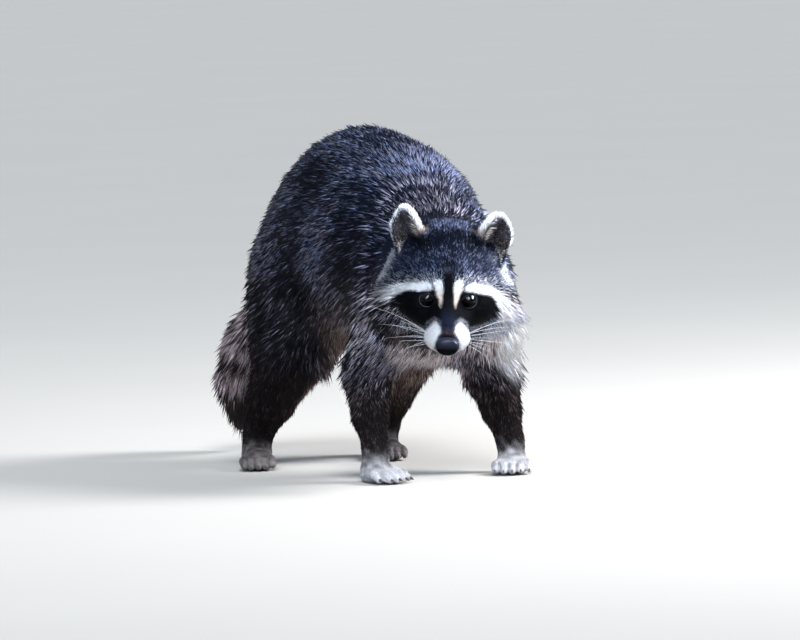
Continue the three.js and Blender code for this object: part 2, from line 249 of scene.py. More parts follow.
def addBump(tree, shader, height, strength, distance):
    relief = addNode(tree, "Bump", {"Height": height, "Strength": strength, "Distance": distance})
    feed(tree, shader, {"Normal": relief.outputs["Normal"]})


def readAttribute(tree, name, output="Fac"):
    return addNode(tree, "Attribute", attribute_name=name).outputs[output]


# A material in two tones of fine grain. A pair for rough makes the roughness follow the grain too.
def grainyMaterial(name, grain, tones, rough, inputs=None, detail=2.0):
    material, tree, shader = newMaterial(name)
    noise = addNoise(tree, grain, detail).outputs["Fac"]
    feed(tree, shader, inputs or {})
    feed(tree, shader, {"Base Color": addTones(tree, noise, [(0, tones[0]), (1, tones[1])]),
                        "Roughness": addRange(tree, noise, *rough) if isinstance(rough, tuple) else rough})
    return material


# camera, lights and floor
# Its target is measured from midway between the eyes.
cameraPlan = {"turn": 23.0, "dip": 4.0, "roll": 2.0, "away": 8.0, "lens": 360.0, "sensor": 36, "clip": 300,
              "target": (-0.0014, 0.1193, -0.0260)}


def buildCamera(plan):
    turn, dip, roll = (math.radians(plan[key]) for key in ("turn", "dip", "roll"))
    right = Vector((math.cos(turn), -math.sin(turn), 0))
    forward = Vector((math.sin(turn) * math.cos(dip), math.cos(turn) * math.cos(dip), -math.sin(dip)))
    up = right.cross(forward)
    x = right * math.cos(roll) - up * math.sin(roll)
    y = right * math.sin(roll) + up * math.cos(roll)
    place = Vector(eyeMiddle) + Vector(plan["target"]) - forward * plan["away"]
    camera = addObject("camera", bpy.data.cameras.new("camera"))
    camera.data.sensor_width = plan["sensor"]
    camera.data.lens = plan["lens"]
    camera.data.clip_end = plan["clip"]
    camera.matrix_world = Matrix((
        (x[0], y[0], -forward[0], place[0]),
        (x[1], y[1], -forward[1], place[1]),
        (x[2], y[2], -forward[2], place[2]),
        (0, 0, 0, 1)))
    bpy.context.scene.camera = camera


lightPlan = {
    "key": {"kind": "SUN", "turn": 10, "rise": 50, "energy": 2.1, "spread": 20, "colour": (1.0, 0.97, 0.93)},
    "sky": {"kind": "SUN", "turn": -10, "rise": 36, "energy": 2.6, "spread": 36, "colour": (0.64, 0.81, 1.0)},
    "rim": {"kind": "AREA", "turn": 86, "rise": 34, "energy": 98, "size": 0.9, "away": 2.0,
            "colour": (0.94, 0.96, 1.0)},
}
stagePlan = {"colour": (0.76, 0.87, 1.0), "horizon": 0.12, "zenith": 0.86,
             "floor": [(0.425, 0.400, 0.370), (0.450, 0.425, 0.395)], "size": 90,
             # the height that the lamps are aimed at
             "aim": 0.18}


# turn is the side it shines from, in degrees from the camera's side, to the right.
def buildLight(name, plan):
    around = math.radians(plan["turn"] - cameraPlan["turn"])
    rise = math.radians(plan["rise"])
    way = Vector((math.sin(around) * math.cos(rise), -math.cos(around) * math.cos(rise), math.sin(rise)))
    light = bpy.data.lights.new(name, plan["kind"])
    light.energy = plan["energy"]
    light.color = plan["colour"]
    if plan["kind"] == "SUN":
        light.angle = math.radians(plan["spread"])
        away = 3.0
    else:
        light.shape = "DISK"
        light.size = plan["size"]
        away = plan["away"]
    lamp = addObject(name, light)
    lamp.location = Vector((0, 0, stagePlan["aim"])) + way * away
    lamp.rotation_euler = way.to_track_quat("Z", "Y").to_euler()
    lamp.visible_camera = False


def buildStage(plan):
    scene = bpy.context.scene
    scene.view_settings.view_transform = "Standard"
    scene.world = bpy.data.worlds.new("studio")
    scene.world.use_nodes = True
    # bright overhead and dim towards the horizon
    tree = scene.world.node_tree
    parts = addNode(tree, "SeparateXYZ", {"Vector": addNode(tree, "TexCoord").outputs["Generated"]})
    glow = addRange(tree, parts.outputs["Z"], plan["horizon"], plan["zenith"])
    feed(tree, tree.nodes["Background"], {"Color": (*plan["colour"], 1), "Strength": glow})
    for name, light in lightPlan.items():
        buildLight(name, light)
    bpy.ops.object.select_all(action="DESELECT")
    bpy.ops.mesh.primitive_plane_add(size=plan["size"], location=(0, 20, 0))
    floor = bpy.context.object
    floor.name = "floor"
    bpy.ops.object.transform_apply(location=True, rotation=True, scale=True)
    floor.data.materials.append(grainyMaterial("pale_floor", 3.0, plan["floor"], 0.75,
                                               {"Specular IOR Level": 0.2}, detail=3.0))


buildCamera(cameraPlan)
buildStage(stagePlan)
report("camera, lights and floor")


# the skin
regions = ["trunk", "neck", "head", "ear", "tail", "upperLeg", "lowerLeg", "paw"]
fleshNodes = sorted(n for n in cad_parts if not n.startswith(("eye_", "claw_", "nose")))

# Lengths in metres.
skinPlan = {"bridge": 0.00040, "voxel": 0.0018, "kept": 0.52, "lidBall": 0.0099, "eyeRadius": 0.0086,
            "fineReach": 0.0145, "trunkRounds": 90, "softRounds": 14, "takeInSteps": 6,
            # how much wider the whisker pads are, how far below the eyes and ahead of them they lie,
            # and how far they reach each way, in millimetres
            "pad": 2.6, "padBelow": 33, "padAhead": 32, "padHigh": 12, "padLong": 16}

# How wide each lid opens, as angles at the eye's middle, and the way each eye looks.
lidPlan = {"gazeOut": 0.30, "gazeUp": 0.06, "wide": 60.0, "high": 51.0, "edge": 0.0009, "blendTo": 34.0,
           "sink": 0.0022, "crease": 0.00055, "reach": 0.0160}


# which part of the body each node belongs to
def regionOf(node):
    for start, region in (("ear_", "ear"), ("upper_leg", "upperLeg"), ("lower_leg", "lowerLeg"),
                          ("paw_", "paw"), ("tail", "tail")):
        if node.startswith(start):
            return region
    return node


# The middle of an eye, and its axes: outwards, up and the way it looks.
def eyeFrame(side):
    sign = 1 if side == "left" else -1
    gaze = unit(headAhead + headSide * sign * lidPlan["gazeOut"] + headUp * lidPlan["gazeUp"])
    out = unit(headSide * sign - gaze * dot(headSide * sign, gaze))
    up = np.cross(gaze, out) * sign
    return boxMiddle("eye_" + side), np.array([out, up, gaze])


# One mesh of copies of these nodes, with the doubled points merged.
def copyNodes(names, name):
    copies = [addObject("copy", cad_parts[node].data.copy()) for node in names]
    for obj in copies:
        obj.data.materials.clear()
    selectOnly(*copies)
    if len(copies) > 1:
        bpy.ops.object.join()
    joined = bpy.context.view_layer.objects.active
    joined.name = joined.data.name = name
    editWhole(joined, bpy.ops.mesh.remove_doubles, threshold=0.00001)
    return joined


def buildRawSkin():
    skin = copyNodes(fleshNodes, "skin")
    points = pointsOf(skin.data)
    movePoints(skin.data, points + normalsOf(points, trianglesOf(skin.data)) * skinPlan["bridge"])
    balls = [addSphere("ball", 48, 32, skinPlan["lidBall"], boxMiddle("eye_" + side))
             for side in ("left", "right")]
    selectOnly(skin, *balls)
    bpy.ops.object.join()
    useModifier(skin, "REMESH", mode="VOXEL", voxel_size=skinPlan["voxel"])
    # the faces round the eyes are cut finer, for the lids
    points = pointsOf(skin.data)
    fine = np.zeros(len(points), bool)
    for side in ("left", "right"):
        middle, axes = eyeFrame(side)
        away = points - middle
        fine |= (np.linalg.norm(away, axis=1) < skinPlan["fineReach"]) & (dot(away, axes[2]) > -0.001)
    selectOnly(skin)
    bpy.ops.object.mode_set(mode="EDIT")
    bpy.ops.mesh.select_mode(type="FACE")
    bpy.ops.mesh.select_all(action="DESELECT")
    bpy.ops.object.mode_set(mode="OBJECT")
    for face in skin.data.polygons:
        if fine[face.vertices[0]] and fine[face.vertices[2]]:
            face.select = True
    bpy.ops.object.mode_set(mode="EDIT")
    bpy.ops.mesh.subdivide(number_cuts=3)
    bpy.ops.mesh.select_all(action="SELECT")
    bpy.ops.mesh.quads_convert_to_tris(quad_method="BEAUTY", ngon_method="BEAUTY")
    bpy.ops.mesh.select_mode(type="VERT")
    bpy.ops.object.mode_set(mode="OBJECT")
    return skin


# How much each point belongs to each region, evened out across the borders.
def shareOut(points, edges):
    corners, faces, owner = [], [], []
    for node in fleshNodes:
        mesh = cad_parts[node].data
        start = len(corners)
        corners += [v.co.copy() for v in mesh.vertices]
        for face in mesh.polygons:
            faces.append([start + i for i in face.vertices])
            owner.append(regions.index(regionOf(node)))
    tree = BVHTree.FromPolygons(corners, faces)
    share = np.zeros((len(points), len(regions)))
    for i, point in enumerate(points):
        share[i, owner[tree.find_nearest(Vector(point))[2]]] = 1
    return smoothOver(share, edges, 8)


skin = buildRawSkin()
report("skin joined and remeshed")
skinEdges = edgesOf(skin.data)
skinFaces = trianglesOf(skin.data)
rawPoints = pointsOf(skin.data)
share = shareOut(rawPoints, skinEdges)
portion = {name: share[:, i] for i, name in enumerate(regions)}
report(f"skin parted into regions, {len(skinFaces)} triangles")


earPlan = {
    "left": {"at": (44, 52.3, -44), "lean": 9, "turn": 16, "tilt": -8,
             "narrow": 0.86, "short": 0.79, "shift": 1.2},
    "right": {"at": (-40, 54.3, -44), "lean": -5, "turn": -14, "tilt": -8,
              "narrow": 0.80, "short": 0.88, "shift": 2.9},
    "half": (19, 31, 13), "taper": 0.16,
}


# The ear's own axes in the head's frame: across, towards the tip and out of the opening.
def earAxes(side):
    plan = earPlan[side]
    tilt, turn, lean = (math.radians(plan[key]) for key in ("tilt", "turn", "lean"))
    turned = Matrix.Rotation(tilt, 3, "X") @ Matrix.Rotation(turn, 3, "Y") @ Matrix.Rotation(-lean, 3, "Z")
    return np.array(turned).T


def toEar(points, side):
    return (toHead(points) - np.array(earPlan[side]["at"])) @ earAxes(side).T


# How the ear narrows and leans towards its tip, for shares of its height.
def earTaper(tall, side):
    plan = earPlan[side]
    return plan["narrow"] - earPlan["taper"] * ramp(tall, 0.15, 1.0), plan["shift"] * ramp(tall, -0.3, 0.4)


# Where points lie on an ear: outwards and up as shares of its size, and out of the opening in mm.
def earPlace(points, side):
    e = toEar(points, side)
    tall = e[:, 1] / earPlan["half"][1]
    tall = np.where(tall > 0, tall / earPlan[side]["short"], tall)
    narrow, lean = earTaper(np.clip(tall, -0.5, 1), side)
    across = (e[:, 0] * (1 if side == "left" else -1) - lean) / (earPlan["half"][0] * narrow)
    return across, tall, e[:, 2]


# Each ear's side, which points are on its side of the head, and where they lie on it.
def bothEars(points):
    onLeft = toHead(points)[:, 0] > 0
    for side, mine in (("left", onLeft), ("right", ~onLeft)):
        yield (side, mine, *earPlace(points, side))


# 1 where long hairs grow inside the ears, along the edge nearer the middle of the head.
def earTuftShare(points):
    found = np.zeros(len(points))
    for _, mine, across, tall, out in bothEars(points):
        here = ramp(-across, -0.10, 0.45) * ramp(out, -9, -6) * ramp(-np.hypot(across, tall), -0.90, -0.78)
        found = np.where(mine, here, found)
    return found


# 1 along the ears' rims above their feet.
def earRimShare(points):
    found = np.zeros(len(points))
    for _, mine, across, tall, _ in bothEars(points):
        found = np.where(mine, ramp(np.hypot(across, tall), 0.84, 0.96) * ramp(tall, -0.3, 0.1), found)
    return found


# the coat's length and how deep the skin lies under it
# Lengths in metres. The head's come from where a point lies on it.
coatPlan = {
    "trunk": 0.0165, "low": 0.0075, "neck": 0.0230, "tail": 0.0275,
    "legHeights": (0.000, 0.020, 0.034, 0.055, 0.080, 0.110, 0.150),
    "legLengths": (0.0022, 0.0030, 0.0045, 0.0075, 0.0120, 0.0180, 0.0230),
    "ear": 0.0034, "earRim": 0.0056, "earInside": 0.0075,
    "muzzle": 0.0026, "mask": 0.0032, "brow": 0.0066, "crown": 0.0115, "cheek": 0.0280,
    # the outer side of the left shoulder: its middle, its reach and how much longer its coat is
    "shoulderAt": (0.100, -0.160, 0.141), "shoulderReach": (0.040, 0.052, 0.072), "shoulder": 0.0120,
    # how deep the skin lies, as shares of the length of short hair and of long hair
    "flat": 0.26, "full": 0.36, "earDepth": 0.0003, "eyeEdge": (0.0105, 0.020), "noseEdge": (1.15, 1.7),
    # no hair grows this near the floor, the middle of the nose, the eyes and the edges of their lids
    "soleBare": 0.0012, "noseBare": 1.06, "eyeBare": 0.0125, "lidBare": 0.16,
    # how many tufts there are, and the length and the power by which short ones stand closer
    "tufts": 350000, "closeAt": 0.028, "closer": 0.55,
    # how many more tufts grow on these parts than elsewhere
    "crowd": {"head": 1.1, "neck": 1.0, "ear": 0.2, "paw": -0.55, "lowerLeg": -0.30},
}


def headCoatLength(points):
    h = toHead(points)
    side, up, ahead = np.abs(h[:, 0]), h[:, 1], h[:, 2]
    length = coatPlan["muzzle"] + (coatPlan["mask"] - coatPlan["muzzle"]) * ramp(-ahead, -30, -5)
    length += (coatPlan["brow"] - coatPlan["mask"]) * ramp(up, 4, 16) * ramp(-ahead, -12, 2)
    length += (coatPlan["crown"] - coatPlan["brow"]) * ramp(-ahead, 8, 60) * ramp(up, -25, 15)
    low = ramp(side, 24, 46) * ramp(-up, -14, 8) + ramp(-up, 30, 46) * 0.7
    length += (coatPlan["cheek"] - coatPlan["mask"]) * ramp(-ahead, -6, 34) * np.clip(low, 0, 1)
    return length


def eyeDistance(points):
    return np.minimum(*(np.linalg.norm(points - boxMiddle("eye_" + s), axis=1) for s in ("left", "right")))


# How far points lie from the middle of the nose, in sizes of the nose.
def noseDistance(points):
    return np.linalg.norm((toHead(points) - toHead(boxMiddle("nose")[None])) / (12.5, 10.2, 9), axis=1)


# 1 on the outer side of the left shoulder, where the coat is long and white.
def leftShoulder(points):
    away = (points - np.array(coatPlan["shoulderAt"])) / coatPlan["shoulderReach"]
    return 1 - ramp(np.linalg.norm(away, axis=1), 0.45, 1.0)


# 1 on the breast, between the forelegs.
def breastShare(points):
    return ramp(-points[:, 1], 0.10, 0.15) * ramp(-points[:, 2], -0.215, -0.165)


def coatLength(points, portion):
    legs = np.interp(points[:, 2], coatPlan["legHeights"], coatPlan["legLengths"])
    ear = coatPlan["ear"] + (coatPlan["earInside"] - coatPlan["ear"]) * earTuftShare(points)
    ear = np.maximum(ear, coatPlan["ear"] + (coatPlan["earRim"] - coatPlan["ear"]) * earRimShare(points))
    length = portion["head"] * headCoatLength(points) + portion["ear"] * ear
    length += (portion["upperLeg"] + portion["lowerLeg"] + portion["paw"]) * legs
    for name in ("trunk", "neck", "tail"):
        length += portion[name] * coatPlan[name]
    length += portion["trunk"] * coatPlan["low"] * ramp(-points[:, 2], -0.25, -0.14)
    return length + coatPlan["shoulder"] * leftShoulder(points)


# It lies least deep on the ears, round the eyes and round the nose.
def coatDepth(length, points, portion):
    depth = length * (coatPlan["flat"] + (coatPlan["full"] - coatPlan["flat"]) * ramp(length, 0.004, 0.020))
    depth = depth * (1 - portion["ear"]) + coatPlan["earDepth"] * portion["ear"]
    depth *= ramp(eyeDistance(points), *coatPlan["eyeEdge"]) * 0.85 + 0.15
    return depth * (ramp(noseDistance(points), *coatPlan["noseEdge"]) * 0.9 + 0.1)


# Takes the ears' skin in from the frame's outline and draws their tops to a rounder point.
def shapeEars(points):
    h = toHead(points)
    for side, sign in (("left", 1), ("right", -1)):
        e = toEar(points, side)
        narrow, lean = earTaper(np.clip(e[:, 1] / earPlan["half"][1], -0.5, 1), side)
        e[:, 0] = e[:, 0] * narrow + sign * lean
        e[:, 1] = np.where(e[:, 1] > 0, e[:, 1] * earPlan[side]["short"], e[:, 1])
        local = e @ earAxes(side) + np.array(earPlan[side]["at"])
        amount = portion["ear"] * (h[:, 0] * sign > 0) * ramp(h[:, 1], 26, 40)
        h = mix(h, local, np.clip(amount, 0, 1))
    return fromHead(h)


def shapeSkin():
    points = shapeEars(rawPoints)
    # first the facets of the frame are smoothed away, the most on the trunk
    soft = np.clip(portion["trunk"] + portion["neck"] + portion["tail"] + 0.8 * portion["upperLeg"], 0, 1)
    start = points.copy()
    points = smoothOver(points, skinEdges, skinPlan["trunkRounds"], 0.5 * soft)
    points = mix(start, points, np.clip(soft * 1.2, 0, 1))
    light = 0.5 * np.clip(portion["head"] * 0.9 + portion["lowerLeg"] + portion["paw"] * 0.4
                          + portion["ear"] * 0.25, 0, 1)
    points = smoothOver(points, skinEdges, skinPlan["softRounds"], light)
    # the whisker pads are filled out
    h = toHead(points)
    low, ahead = h[:, 1] + skinPlan["padBelow"], h[:, 2] - skinPlan["padAhead"]
    pad = np.exp(-(low / skinPlan["padHigh"]) ** 2 - (ahead / skinPlan["padLong"]) ** 2)
    h[:, 0] += np.sign(h[:, 0]) * skinPlan["pad"] * pad * ramp(np.abs(h[:, 0]), 7, 16) * portion["head"]
    points = fromHead(h)
    # then it is taken in by the depth of the coat
    length = coatLength(points, portion)
    depth = smoothOver(coatDepth(length, points, portion), skinEdges, 6)
    for _ in range(skinPlan["takeInSteps"]):
        points = points - normalsOf(points, skinFaces) * (depth / skinPlan["takeInSteps"])[:, None]
        points = smoothOver(points, skinEdges, 4, 0.5 * ramp(depth, 0.001, 0.008))
    return points


pawPlan = {
    "fore_left": {"at": (0.0882, -0.1528), "turn": -24},
    "fore_right": {"at": (-0.0568, -0.1528), "turn": 6},
    "hind_left": {"at": (0.0582, 0.1002), "turn": -17},
    "hind_right": {"at": (-0.0878, 0.0932), "turn": -21},
}
# How long the toes are, how deep the grooves between them and how deep the notches between their tips.
toePlan = {"long": 0.023, "deep": 0.0027, "notch": 0.0046, "paw": (0.035, 0.045, 0.035)}


# Parts the front of each paw into five toes, one behind each claw.
def shapeToes(points):
    points = points.copy()
    normals = normalsOf(points, skinFaces)
    for name, plan in pawPlan.items():
        turn = math.radians(plan["turn"])
        ahead = np.array((math.sin(turn), -math.cos(turn)))
        across = np.array((math.cos(turn), math.sin(turn)))
        claws = np.array([boxMiddle(f"claw_{name}_{i}")[:2] for i in range(1, 6)])
        order = np.argsort(claws @ across)
        u, v = (claws @ across)[order], (claws @ ahead)[order]
        pu, pv = points[:, :2] @ across, points[:, :2] @ ahead
        wide, long, high = toePlan["paw"]
        near = (np.abs(pu - u.mean()) < wide) & (np.abs(pv - v.mean()) < long) & (points[:, 2] < high)
        bounds = (u[1:] + u[:-1]) / 2
        index = np.searchsorted(bounds, pu)
        gap = np.concatenate([[u[1] - u[0]], np.diff(u), [u[-1] - u[-2]]])
        inner = np.where(pu > u[index], gap[index + 1], gap[index]) / 2
        outermost = ((index == 0) & (pu < u[0])) | ((index == 4) & (pu > u[4]))
        groove = ramp(np.abs(pu - u[index]) / inner, 0.35, 1.0) * ~outermost
        back = ramp(pv - (v[index] - toePlan["long"]), 0, 0.010) * near * portion["paw"]
        front = ramp(pv - (v[index] - 0.010), 0, 0.008) * near * portion["paw"]
        points -= normals * (toePlan["deep"] * groove * back)[:, None]
        points[:, :2] -= ahead * (toePlan["notch"] * groove * front)[:, None]
    return points


skinPoints = shapeToes(shapeSkin())
report("skin smoothed and taken in under the coat, toes parted")


# How far from the gaze the lids' edge lies, for each way round the eye, in radians.
def lidAngle(turn):
    wide, high = math.radians(lidPlan["wide"]), math.radians(lidPlan["high"])
    x, y = np.cos(turn), np.sin(turn)
    edge = (np.abs(x / wide) ** 2.1 + np.abs(y / high) ** 1.9) ** (-1 / 2)
    inner = ramp(-x, 0.75, 1.0) * ramp(-y, -0.35, 0.25)
    return edge * (1 + 0.12 * inner)


# Where points lie round an eye: their distance from its middle, their way from it in its own axes,
# their turn round its gaze, and how far past the lids' edge they are.
def roundEye(points, side):
    middle, axes = eyeFrame(side)
    local = (points - middle) @ axes.T
    way = unit(local)
    turn = np.arctan2(way[:, 1], way[:, 0])
    past = np.arccos(np.clip(way[:, 2], -1, 1)) - lidAngle(turn)
    return np.linalg.norm(local, axis=1), way, turn, past


# Opens the two lids over each eye, with a thick rim and a fold above.
def shapeLids(points):
    points = points.copy()
    radius = skinPlan["eyeRadius"]
    rim = radius + lidPlan["edge"]
    for side in ("left", "right"):
        middle, axes = eyeFrame(side)
        reach, way, turn, past = roundEye(points, side)
        near = (reach < lidPlan["reach"]) & (way[:, 2] > 0.05)
        blend = ramp(past, 0.06, math.radians(lidPlan["blendTo"]))
        outer = rim + (np.maximum(reach, rim) - rim) * blend
        # a shallow crease runs round above the upper lid
        outer -= np.exp(-((past - 0.30) / 0.07) ** 2) * ramp(np.sin(turn), 0.1, 0.7) * lidPlan["crease"]
        opening = ramp(-past, -0.015, 0.05)
        wanted = outer * (1 - opening) + (radius - lidPlan["sink"]) * opening
        fade = ramp(-reach, 0.0002 - lidPlan["reach"], -0.0120) * ramp(way[:, 2], 0.08, 0.22)
        new = reach + (wanted - reach) * fade
        points[near] = (middle + (way * new[:, None]) @ axes)[near]
    return points


skinPoints = shapeLids(skinPoints)
movePoints(skin.data, skinPoints)
skinNormals = normalsOf(skinPoints, skinFaces)
report("lids opened")


# markings
# Outlines on the face, seen from straight in front, in millimetres from midway between the eyes:
# across from the middle line, and up.
maskOutline = {
    "right": [(9, 9), (14, 9.5), (18.6, 8.3), (29, 7.0), (36, 7.7), (43, 6.3), (48, 3.9), (50, 0), (48.5, -5),
              (43.5, -13), (36.5, -18.5), (29, -24), (22, -27), (19.5, -22), (12, -18), (2.5, -23), (2.5, -5),
              (8, -4)],
    "left": [(9, 9), (15, 8.3), (22.7, 7.9), (30.8, 6.6), (37.6, 5.5), (42.4, 3.4), (45, 0.5), (47, -4),
             (48, -8), (45.5, -14), (37.8, -19.5), (27.3, -24.2), (21.6, -26.5), (19, -22), (12, -18),
             (2.5, -23), (2.5, -5), (8, -4)],
}
browOutline = {
    "right": [(15.5, 8.5), (16, 14.5), (22, 16.0), (28, 15.6), (38, 14.6), (45, 13.6), (52, 12.6), (62, 11),
              (70, 9), (70, 3), (62, -1), (56, -3), (52, -2.5), (51, -1), (50, 1.5), (48, 4.2), (43, 6.5),
              (36, 7.9), (29, 7.4), (20, 8.5)],
    "left": [(15.8, 8), (17.5, 14), (23, 15.6), (28, 15.4), (33, 14.8), (40.5, 13.2), (47, 10.8), (53, 7.5),
             (58, 2.5), (61, -5), (57, -14), (50, -16), (48, -8), (47, -4), (45, 0.5), (42, 3.5), (37, 5.6),
             (30, 6.8), (22, 8)],
}
wedgeOutline = [(5.0, 15), (8.5, 18.5), (14.0, 17), (13.4, 11), (11.6, 6), (8.8, -0.5), (7.0, -8.8),
                (6.0, -3), (5.6, 3), (5.0, 9)]
muzzleOutline = [(9.6, -24), (12.2, -21.6), (15.4, -25.4), (19.2, -29.4), (23.2, -33.8), (23.0, -38.5),
                 (18.6, -45.5), (13.2, -52), (12.3, -44), (9.6, -36.6), (6.6, -32.4), (7.4, -27.5)]


# 1 inside the outline and 0 outside, changing over a width of soft.
def insideOutline(x, y, outline, soft):
    away = np.full(len(x), 1e9)
    inside = np.zeros(len(x), bool)
    for (x0, y0), (x1, y1) in zip(outline, outline[1:] + outline[:1]):
        dx, dy = x1 - x0, y1 - y0
        t = np.clip(((x - x0) * dx + (y - y0) * dy) / (dx * dx + dy * dy), 0, 1)
        away = np.minimum(away, np.hypot(x - x0 - t * dx, y - y0 - t * dy))
        crosses = (y0 > y) != (y1 > y)
        where = x0 + (y - y0) * dx / (dy if dy else 1e-9)
        inside ^= crosses & (x < where)
    return ramp(np.where(inside, away, -away), -soft / 2, soft / 2)


palette = {
    "black": (0.0010, 0.0015, 0.0027),
    "blueBlack": (0.0030, 0.0048, 0.0140),
    "slate": (0.0165, 0.0240, 0.0560),
    "silver": (0.4000, 0.4700, 0.7600),
    "white": (0.8900, 0.9100, 0.9900),
    "cream": (0.8800, 0.8000, 0.6800),
    "tan": (0.4600, 0.3500, 0.3050),
    "brown": (0.0800, 0.0560, 0.0540),
    "umber": (0.0100, 0.0075, 0.0085),
    "pawGrey": (0.8600, 0.8400, 0.8700),
    "hindWarmth": (1.0000, 0.9000, 0.8600),
    "tailPale": (0.7800, 0.6300, 0.7100),
    "earInside": (0.0480, 0.0420, 0.0560),
    "earHollowShade": (0.0120, 0.0090, 0.0100),
}
palette = {name: np.array(colour) for name, colour in palette.items()}
# warmer and darker shades of cream
for name, tint in (("wedgeLow", (0.82, 0.78, 0.80)), ("blush", (0.75, 0.62, 0.66)),
                   ("rimFoot", (0.55, 0.48, 0.46)), ("earHair", (0.30, 0.29, 0.34)),
                   ("earFootHair", (0.66, 0.66, 0.74))):
    palette[name] = palette["cream"] * tint

# The tail's middle line, from its root to its tip, and its dark rings.
tailPlan = {"line": [(18, 152, 200), (-4, 204, 164), (-21, 240, 122), (-28, 260, 84), (-26, 276, 50)],
            "rings": 6, "firstRing": 0.13, "darkTip": 0.88}


# How far along the tail each point lies, from 0 to 1, and the way the tail runs there.
def alongTail(points):
    line = np.array(tailPlan["line"], float) / 1000
    steps = np.diff(line, axis=0)
    lengths = np.linalg.norm(steps, axis=1)
    starts = np.concatenate([[0], np.cumsum(lengths)[:-1]])
    best = np.full(len(points), 1e9)
    along = np.zeros(len(points))
    for start, step, length, before in zip(line, steps, lengths, starts):
        t = np.clip((points - start) @ step / length ** 2, 0, 1)
        away = np.linalg.norm(points - start - t[:, None] * step, axis=1)
        closer = away < best
        best[closer] = away[closer]
        along[closer] = (before + t * length)[closer]
    # the way is blended from segment to segment
    fraction = along / lengths.sum()
    middles = (starts + lengths / 2) / lengths.sum()
    way = np.stack([np.interp(fraction, middles, unit(steps)[:, k]) for k in range(3)], 1)
    return fraction, unit(way)


# Soft patches of the body's markings: the middle and the reach of each, in metres.
patches = {
    "hump": ((0.030, -0.090, 0.298), (0.062, 0.054, 0.052)),
    # these are the same on both sides
    "flank": ((0.072, -0.020, 0.230), (0.045, 0.036, 0.090)),
    "haunch": ((0.090, 0.095, 0.230), (0.050, 0.050, 0.080)),
    # painted shade in the folds behind the flank, behind the shoulder and on the back
    "crease": ((0.080, 0.030, 0.180), (0.058, 0.034, 0.120)),
    "shoulderFoldShade": ((0.056, -0.095, 0.225), (0.050, 0.046, 0.056)),
    "backFoldShade": ((0.050, -0.002, 0.296), (0.042, 0.048, 0.036)),
    # the shade inside the left shoulder
    "armpit": ((0.052, -0.160, 0.109), (0.031, 0.045, 0.032)),
    "innerShoulder": ((0.038, -0.170, 0.124), (0.030, 0.050, 0.027)),
}


# 1 at the middle of a soft patch and 0 outside it.
def blob(points, name):
    middle, reach = np.array(patches[name])
    return 1 - ramp(np.linalg.norm((points - middle) / reach, axis=1), 0.35, 1.0)


# 1 along the top of the neck, behind the head, where the hair is a paler ruff.
def ruffTop(points, fall):
    x, _, z = points.T
    return ramp(z, 0.225, 0.262) * (1 - fall * ramp(np.abs(x - 0.005), 0.020, 0.050))


ruffPale = mix(palette["silver"], palette["tan"] * 1.4, 0.45)


# Shares of pale hairs on the body: everywhere, on top, over the hips, low down, and in places.
bodyShares = {"all": 0.24, "drift": 0.04, "top": 0.14, "hump": 0.28, "hips": 0.05, "low": 0.05, "ruff": 0.22,
              "flank": 0.20, "haunch": 0.12, "belly": 0.22, "breast": 0.34}


# For the body: the base tone, the tone of the pale hairs, and how many hairs are pale.
def bodyMarking(points, normals):
    x, y, z = points.T
    base = mix(palette["blueBlack"], palette["slate"], 0.15)
    pale = palette["silver"] * 0.75
    many = bodyShares["all"] + bodyShares["drift"] * waves(points, 0.085, 11)
    # more pale hair along the top and on the hump: the grizzled coat, with painted light from above
    many += bodyShares["top"] * ramp(z, 0.26, 0.34) + bodyShares["hump"] * blob(points, "hump")
    # greyer and browner over the hips
    hips = ramp(y, 0.03, 0.14)
    base = mix(base, palette["umber"] * 0.9, 0.45 * hips)
    pale = mix(pale, mix(palette["silver"], palette["tan"], 0.5), 0.6 * hips)
    many += bodyShares["hips"] * hips
    # and browner again low on the flanks
    low = ramp(-z, -0.24, -0.16)
    base = mix(base, palette["umber"], 0.8 * low)
    pale = mix(pale, mix(palette["silver"], palette["tan"], 0.55) * 0.8, 0.8 * low)
    many += bodyShares["low"] * low
    # a paler ruff behind the head, with a dark line where it meets the back
    ruff = ramp(-y, 0.1105, 0.1180) * ruffTop(points, 0.8)
    many += bodyShares["ruff"] * ruff
    pale = mix(pale, ruffPale, ruff)
    many *= 1 - 0.60 * np.exp(-((y + 0.1075) / 0.0045) ** 2) * ramp(z, 0.245, 0.27)
    # a paler flank, and painted shade that darkens the folds before and behind it and on the back
    aside = np.stack([np.abs(x), y, z], 1)
    many += bodyShares["flank"] * blob(aside, "flank") + bodyShares["haunch"] * blob(aside, "haunch")
    crease = blob(aside, "crease")
    side = np.maximum(blob(aside, "shoulderFoldShade"), blob(aside, "backFoldShade"))
    many *= (1 - 0.45 * crease) * (1 - 0.60 * side)
    base = mix(base, palette["black"], 0.5 * crease + 0.4 * side)
    # some hairs are brown rather than silver, and the belly is brown and tan
    warm = ramp(waves(points, 0.018, 12), 0.0, 1.4)
    pale = mix(pale, palette["tan"] * 1.1, 0.45 * warm)
    belly = ramp(-normals[:, 2], 0.15, 0.75) * ramp(-z, -0.20, -0.13)
    base = mix(base, palette["brown"], belly)
    pale = mix(pale, palette["tan"], belly)
    many += bodyShares["belly"] * belly
    # the breast has long pale and tan hairs
    breast = breastShare(points) * (1 - 0.7 * ramp(-x, 0.028, 0.052))
    base = mix(base, palette["brown"], 0.7 * breast)
    pale = mix(pale, mix(palette["tan"], palette["silver"], 0.2) * 2.2, breast)
    many += bodyShares["breast"] * breast
    return base, pale, many


